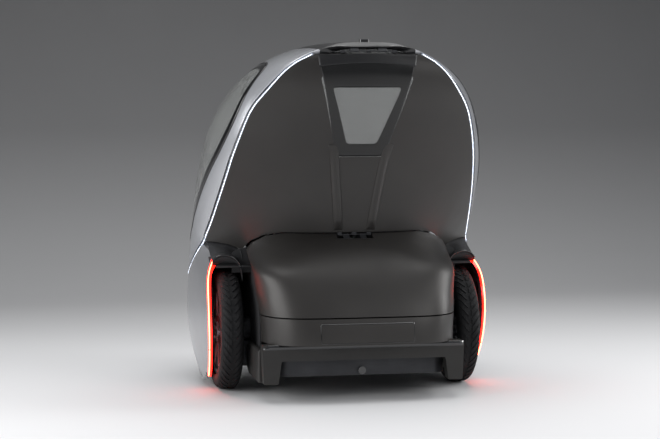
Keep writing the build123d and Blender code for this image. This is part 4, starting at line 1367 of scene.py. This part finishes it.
def cushion_start(node):
    """Rounded block a little inside a packed cushion, leaning as that does."""
    low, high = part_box(node)
    mid = (low + high) / 2
    size = [0.5 * (h - l) - SHRINK for l, h in zip(low, high)]
    bm = bmesh.new()
    bmesh.ops.create_cube(bm, size=1)
    bmesh.ops.subdivide_edges(bm, edges=bm.edges, cuts=7, use_grid_fill=True)
    for v in bm.verts:
        p = v.co * 2
        drawn = 1 - CORNER_DRAW * (abs(p.x) ** 6 * abs(p.z if is_back(node) else p.y) ** 6)
        x = mid.x + p.x * size[0] * drawn
        z = mid.z + p.z * size[2] * drawn
        if is_back(node):
            front = leaning(BACK_FRONT, low, high, z)
            rear = leaning(BACK_REAR, low, high, z)
            y = (front + rear) / 2 + p.y * ((rear - front) / 2 - SHRINK) * (1 - BACK_WAIST * p.x ** 4)
        else:
            y = mid.y + p.y * size[1] * drawn
            z = mid.z + p.z * size[2] * (1 - SEAT_CROWN * p.x ** 4 - SEAT_CROWN * p.y ** 4)
        v.co = (x, y, z)
    return new_object(node + "_pad", mesh_of(node + "_pad", bm))


print("cushions start smaller by", SHRINK)

# %% [markdown]
# ## Puffing a cushion up
# Blown-up cloth gives the tight, soft swelling that a cover has over foam,
# which is hard to draw by hand. The block is first remeshed into even quads,
# so that it swells evenly. Pressure pushes it out for twenty frames without
# gravity, and no point may move far, because the cushion has to stay in its
# place between the seat frame and its neighbours.

# %% Remesh and inflate
VOXEL = 0.009
PRESSURE = 4.0
FRAMES = 20
FARTHEST = 0.010


def bake_modifiers(obj):
    """Makes the modified shape the object's own mesh."""
    graph = bpy.context.evaluated_depsgraph_get()
    made = bpy.data.meshes.new_from_object(obj.evaluated_get(graph))
    obj.modifiers.clear()
    obj.data = made


def inflate(obj):
    rest = [v.co.copy() for v in obj.data.vertices]
    cloth = obj.modifiers.new("puff", "CLOTH")
    cloth.settings.use_pressure = True
    cloth.settings.uniform_pressure_force = PRESSURE
    cloth.settings.effector_weights.gravity = 0.0
    for f in range(1, FRAMES + 1):
        scene.frame_set(f)
    bake_modifiers(obj)
    for v, home in zip(obj.data.vertices, rest):
        shift = v.co - home
        if shift.length > FARTHEST:
            v.co = home + shift.normalized() * FARTHEST
    scene.frame_set(1)


print("cloth frames", FRAMES, "cap", FARTHEST)

# %% [markdown]
# ## Sewn channels
# Two long channels and three short cross ones are sewn into each cushion. The
# remesh would wipe out anything so narrow, so they come last: every point near
# a channel's line moves into the foam by a soft bell curve.

# %% Sew the channels
LONG_AT, LONG_DEEP = 0.095, 0.007
CROSS_HALF, CROSS_DEEP = 0.09, 0.006
STITCH_WIDTH = 0.006
BACK_LINES, SEAT_LINES = (0.16, 0.12), (0.12, 0.10)
FRONT_SKIN = 0.05


def dip(distance, deep):
    """Depth of a sewn channel at a distance from its line."""
    return deep * math.exp(-(distance / STITCH_WIDTH) ** 2)


def cross_channels(at, start, spacing):
    """Depth of three evenly spaced channels at a place along the cushion."""
    return sum(dip(at - (start + spacing * k), CROSS_DEEP) for k in range(3))


def sew(node, obj):
    low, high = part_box(node)
    mid = (low + high) / 2
    for v in obj.data.vertices:
        p = v.co
        off_middle = abs(p.x - mid.x)
        groove = dip(abs(off_middle - LONG_AT), LONG_DEEP)
        if is_back(node):
            if off_middle < CROSS_HALF:
                groove += cross_channels(p.z, low.z + BACK_LINES[0], BACK_LINES[1])
            if p.y < leaning(BACK_FRONT, low, high, p.z) + FRONT_SKIN:
                p.y += groove
        elif p.z > mid.z:
            if off_middle < CROSS_HALF:
                groove += cross_channels(p.y, low.y + SEAT_LINES[0], SEAT_LINES[1])
            p.z -= groove


print("channels per cushion", 2 + 3)

# %% [markdown]
# ## All four cushions
# The steps run in their order: block, even mesh, pressure, channels, and one
# subdivision to smooth what the voxels left. Each pad then stands for its
# imported solid.


def padded_seat(node):
    obj = cushion_start(node)
    remesh = obj.modifiers.new("even", "REMESH")
    remesh.mode = "VOXEL"
    remesh.voxel_size = VOXEL
    bake_modifiers(obj)
    inflate(obj)
    sew(node, obj)
    for face in obj.data.polygons:
        face.use_smooth = True
    obj.data.materials.clear()
    obj.data.materials.append(fabric)
    soft = obj.modifiers.new("soft", "SUBSURF")
    soft.levels = soft.render_levels = 1
    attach(obj, body_of[node])
    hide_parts(node)
    print(node, "points", len(obj.data.vertices))


for node in ("seat_cushion_left", "seat_cushion_right", "seat_back_left", "seat_back_right"):
    padded_seat(node)

# %% [markdown]
# ## Nose lamps and intake
# Two slim lamps and a dark air intake sit low on the nose. They are flush with
# it, so they are patches dropped from the front, like the trim on the tail.
# The lamps climb slightly towards the flanks.

# %% Nose lamps and intake
LAMP_FROM, LAMP_LENGTH = 0.20, 0.22
LAMP_LOW, LAMP_HEIGHT, LAMP_RISE = 0.405, 0.012, 0.02
INTAKE_HALF, INTAKE_TAPER = 0.30, 0.03
INTAKE_LOW, INTAKE_HEIGHT = 0.215, 0.055

nose = skin_of(FRONT, "nose_panel")
for side, name in SIDES:
    def lamp_shape(u, v, side=side):
        return side * (LAMP_FROM + LAMP_LENGTH * u), LAMP_LOW + LAMP_HEIGHT * v + LAMP_RISE * u

    patch(f"nose_lamp_{name}", lamp_shape, nose, "chassis", led_white, "white_light",
          rows=4, columns=24, lift=0.0008)


def intake_shape(u, v):
    return (INTAKE_HALF - INTAKE_TAPER * v) * (2 * u - 1), INTAKE_LOW + INTAKE_HEIGHT * v


intake = patch("nose_intake", intake_shape, nose, "chassis", piano_black, "dark_plastic",
               rows=6, columns=40, lift=0.0006)
print("intake faces", len(intake.data.polygons))

# %% [markdown]
# ## Dashboard screen
# The dashboard faces the seats and carries one blank gloss screen. It is
# dropped from behind, from where the seats are.

# %% Dashboard screen
SCREEN_HALF, SCREEN_LOW, SCREEN_HEIGHT = 0.26, 0.706, 0.046


def screen_shape(u, v):
    return SCREEN_HALF * (2 * u - 1), SCREEN_LOW + SCREEN_HEIGHT * v


dash = skin_of(BACK, "dashboard")
screen = patch("dash_screen", screen_shape, dash, "chassis", piano_black, "dark_plastic",
               rows=2, columns=8, lift=0.0005)
print("screen faces", len(screen.data.polygons))

# %% [markdown]
# ## Floor and backdrop
# A studio sweep is one sheet that runs along the floor and curves up behind,
# with no corner. Ours is pale under the car and darkens with distance and
# height. That darkening is painted light fall-off in its colour, so the lamps
# can stay at a plain level. Seen from the back it is clear, so that a view
# from the nose side is not blocked.

# %% Backdrop material
NEAR, FAR = 3.0, -10.0
FALLOFF_LEVELS = [(0.0, 0.80), (0.30, 0.62), (0.62, 0.30), (0.74, 0.16), (1.0, 0.075)]
COOLER = 1.01


def backdrop_painted_falloff():
    """Pale under the car and darker with distance and height, as painted light fall-off; clear from behind.
    """
    mat = material("floor_painted_falloff", (0.70, 0.70, 0.70), (0.72, 0.72, 0.72), 0.85, patch=0.6, grain=(30.0, 0.01))
    tree = mat.node_tree
    skin = tree.nodes["Principled BSDF"]
    place = tree.nodes.new("ShaderNodeTexCoord")
    split = tree.nodes.new("ShaderNodeSeparateXYZ")
    tree.links.new(place.outputs["Object"], split.inputs[0])
    span = tree.nodes.new("ShaderNodeMapRange")
    span.inputs["From Min"].default_value = NEAR
    span.inputs["From Max"].default_value = FAR
    # The ramp paints light fall-off into the colour: pale near the car, darker with distance and height.
    ramp = colour_ramp(tree, [(at, (level, level, level * COOLER)) for at, level in FALLOFF_LEVELS])
    tree.links.new(maths(tree, "SUBTRACT", split.outputs["Y"], split.outputs["Z"]), span.inputs["Value"])
    tree.links.new(span.outputs[0], ramp.inputs["Fac"])
    tree.links.new(ramp.outputs["Color"], skin.inputs["Base Color"])
    behind = tree.nodes.new("ShaderNodeNewGeometry")
    clear = tree.nodes.new("ShaderNodeBsdfTransparent")
    choose = tree.nodes.new("ShaderNodeMixShader")
    tree.links.new(behind.outputs["Backfacing"], choose.inputs["Fac"])
    tree.links.new(skin.outputs[0], choose.inputs[1])
    tree.links.new(clear.outputs[0], choose.inputs[2])
    tree.links.new(choose.outputs[0], tree.nodes["Material Output"].inputs["Surface"])
    return mat


print("backdrop levels", len(FALLOFF_LEVELS))

# %% Backdrop sheet
FLOOR_BACK, BEND_AT = 12.0, -3.5
BEND_R, WALL_TOP = 2.5, 9.0
HALF_WIDTH = 14.0
SHEET_STEPS = 24


def sweep_profile():
    """Side view of the sheet, as (y, z): flat floor, quarter bend, upright wall."""
    rows = []
    for i in range(SHEET_STEPS + 1):
        t = i / SHEET_STEPS
        if t < 0.5:
            rows.append((FLOOR_BACK - (FLOOR_BACK - BEND_AT) * t * 2, 0.0))
        else:
            a = (t - 0.5) * math.pi
            rows.append((BEND_AT - BEND_R * math.sin(a), BEND_R - BEND_R * math.cos(a)))
    rows.append((BEND_AT - BEND_R, WALL_TOP))
    return rows


def backdrop():
    bm = bmesh.new()
    pairs = [[bm.verts.new((x, y, z)) for x in (-HALF_WIDTH, HALF_WIDTH)] for y, z in sweep_profile()]
    for a, b in zip(pairs, pairs[1:]):
        bm.faces.new((a[0], a[1], b[1], b[0])).smooth = True
    bm.normal_update()
    if bm.faces[:][0].normal.z < 0:
        bmesh.ops.reverse_faces(bm, faces=bm.faces)
    mesh = mesh_of("backdrop", bm)
    mesh.materials.append(backdrop_painted_falloff())
    obj = new_object("backdrop", mesh)
    return obj


print("backdrop faces", len(backdrop().data.polygons))

# %% [markdown]
# ## Lamps
# Cars are lit with large soft boxes, whose long reflections draw the shape of
# each panel. One hangs above, one stands at each side, and a weak one behind
# lifts the tail. Point lamps would make hard spots in the lacquer. A faint
# cool world fills the shadows.

# %% Soft boxes and world
WORLD_COLOUR, WORLD_LEVEL = (0.80, 0.82, 0.86, 1), 0.35


def lamp(name, at, aim, width, height, power):
    data = bpy.data.lights.new(name, "AREA")
    data.shape = "RECTANGLE"
    data.size = width
    data.size_y = height
    data.energy = power
    obj = new_object(name, data)
    obj.location = at
    obj.rotation_euler = (Vector(aim) - Vector(at)).to_track_quat("-Z", "Y").to_euler()
    print(name, power, "W")


lamp("top_softbox", (0, -0.2, 4.8), (0, 0.1, 0.8), 5.0, 4.2, 200)
lamp("left_softbox", (4.5, 1.4, 1.7), (0, 0.2, 0.8), 4.6, 2.4, 150)
lamp("right_softbox", (-4.4, 0.6, 2.2), (0, 0.3, 0.9), 1.6, 2.8, 110)
lamp("rear_softbox", (-3.4, 5.2, 3.0), (0, 0.2, 0.8), 2.6, 2.6, 60)
world = bpy.data.worlds.new("studio")
scene.world = world
world.use_nodes = True
sky = world.node_tree.nodes["Background"]
sky.inputs["Color"].default_value = WORLD_COLOUR
sky.inputs["Strength"].default_value = WORLD_LEVEL
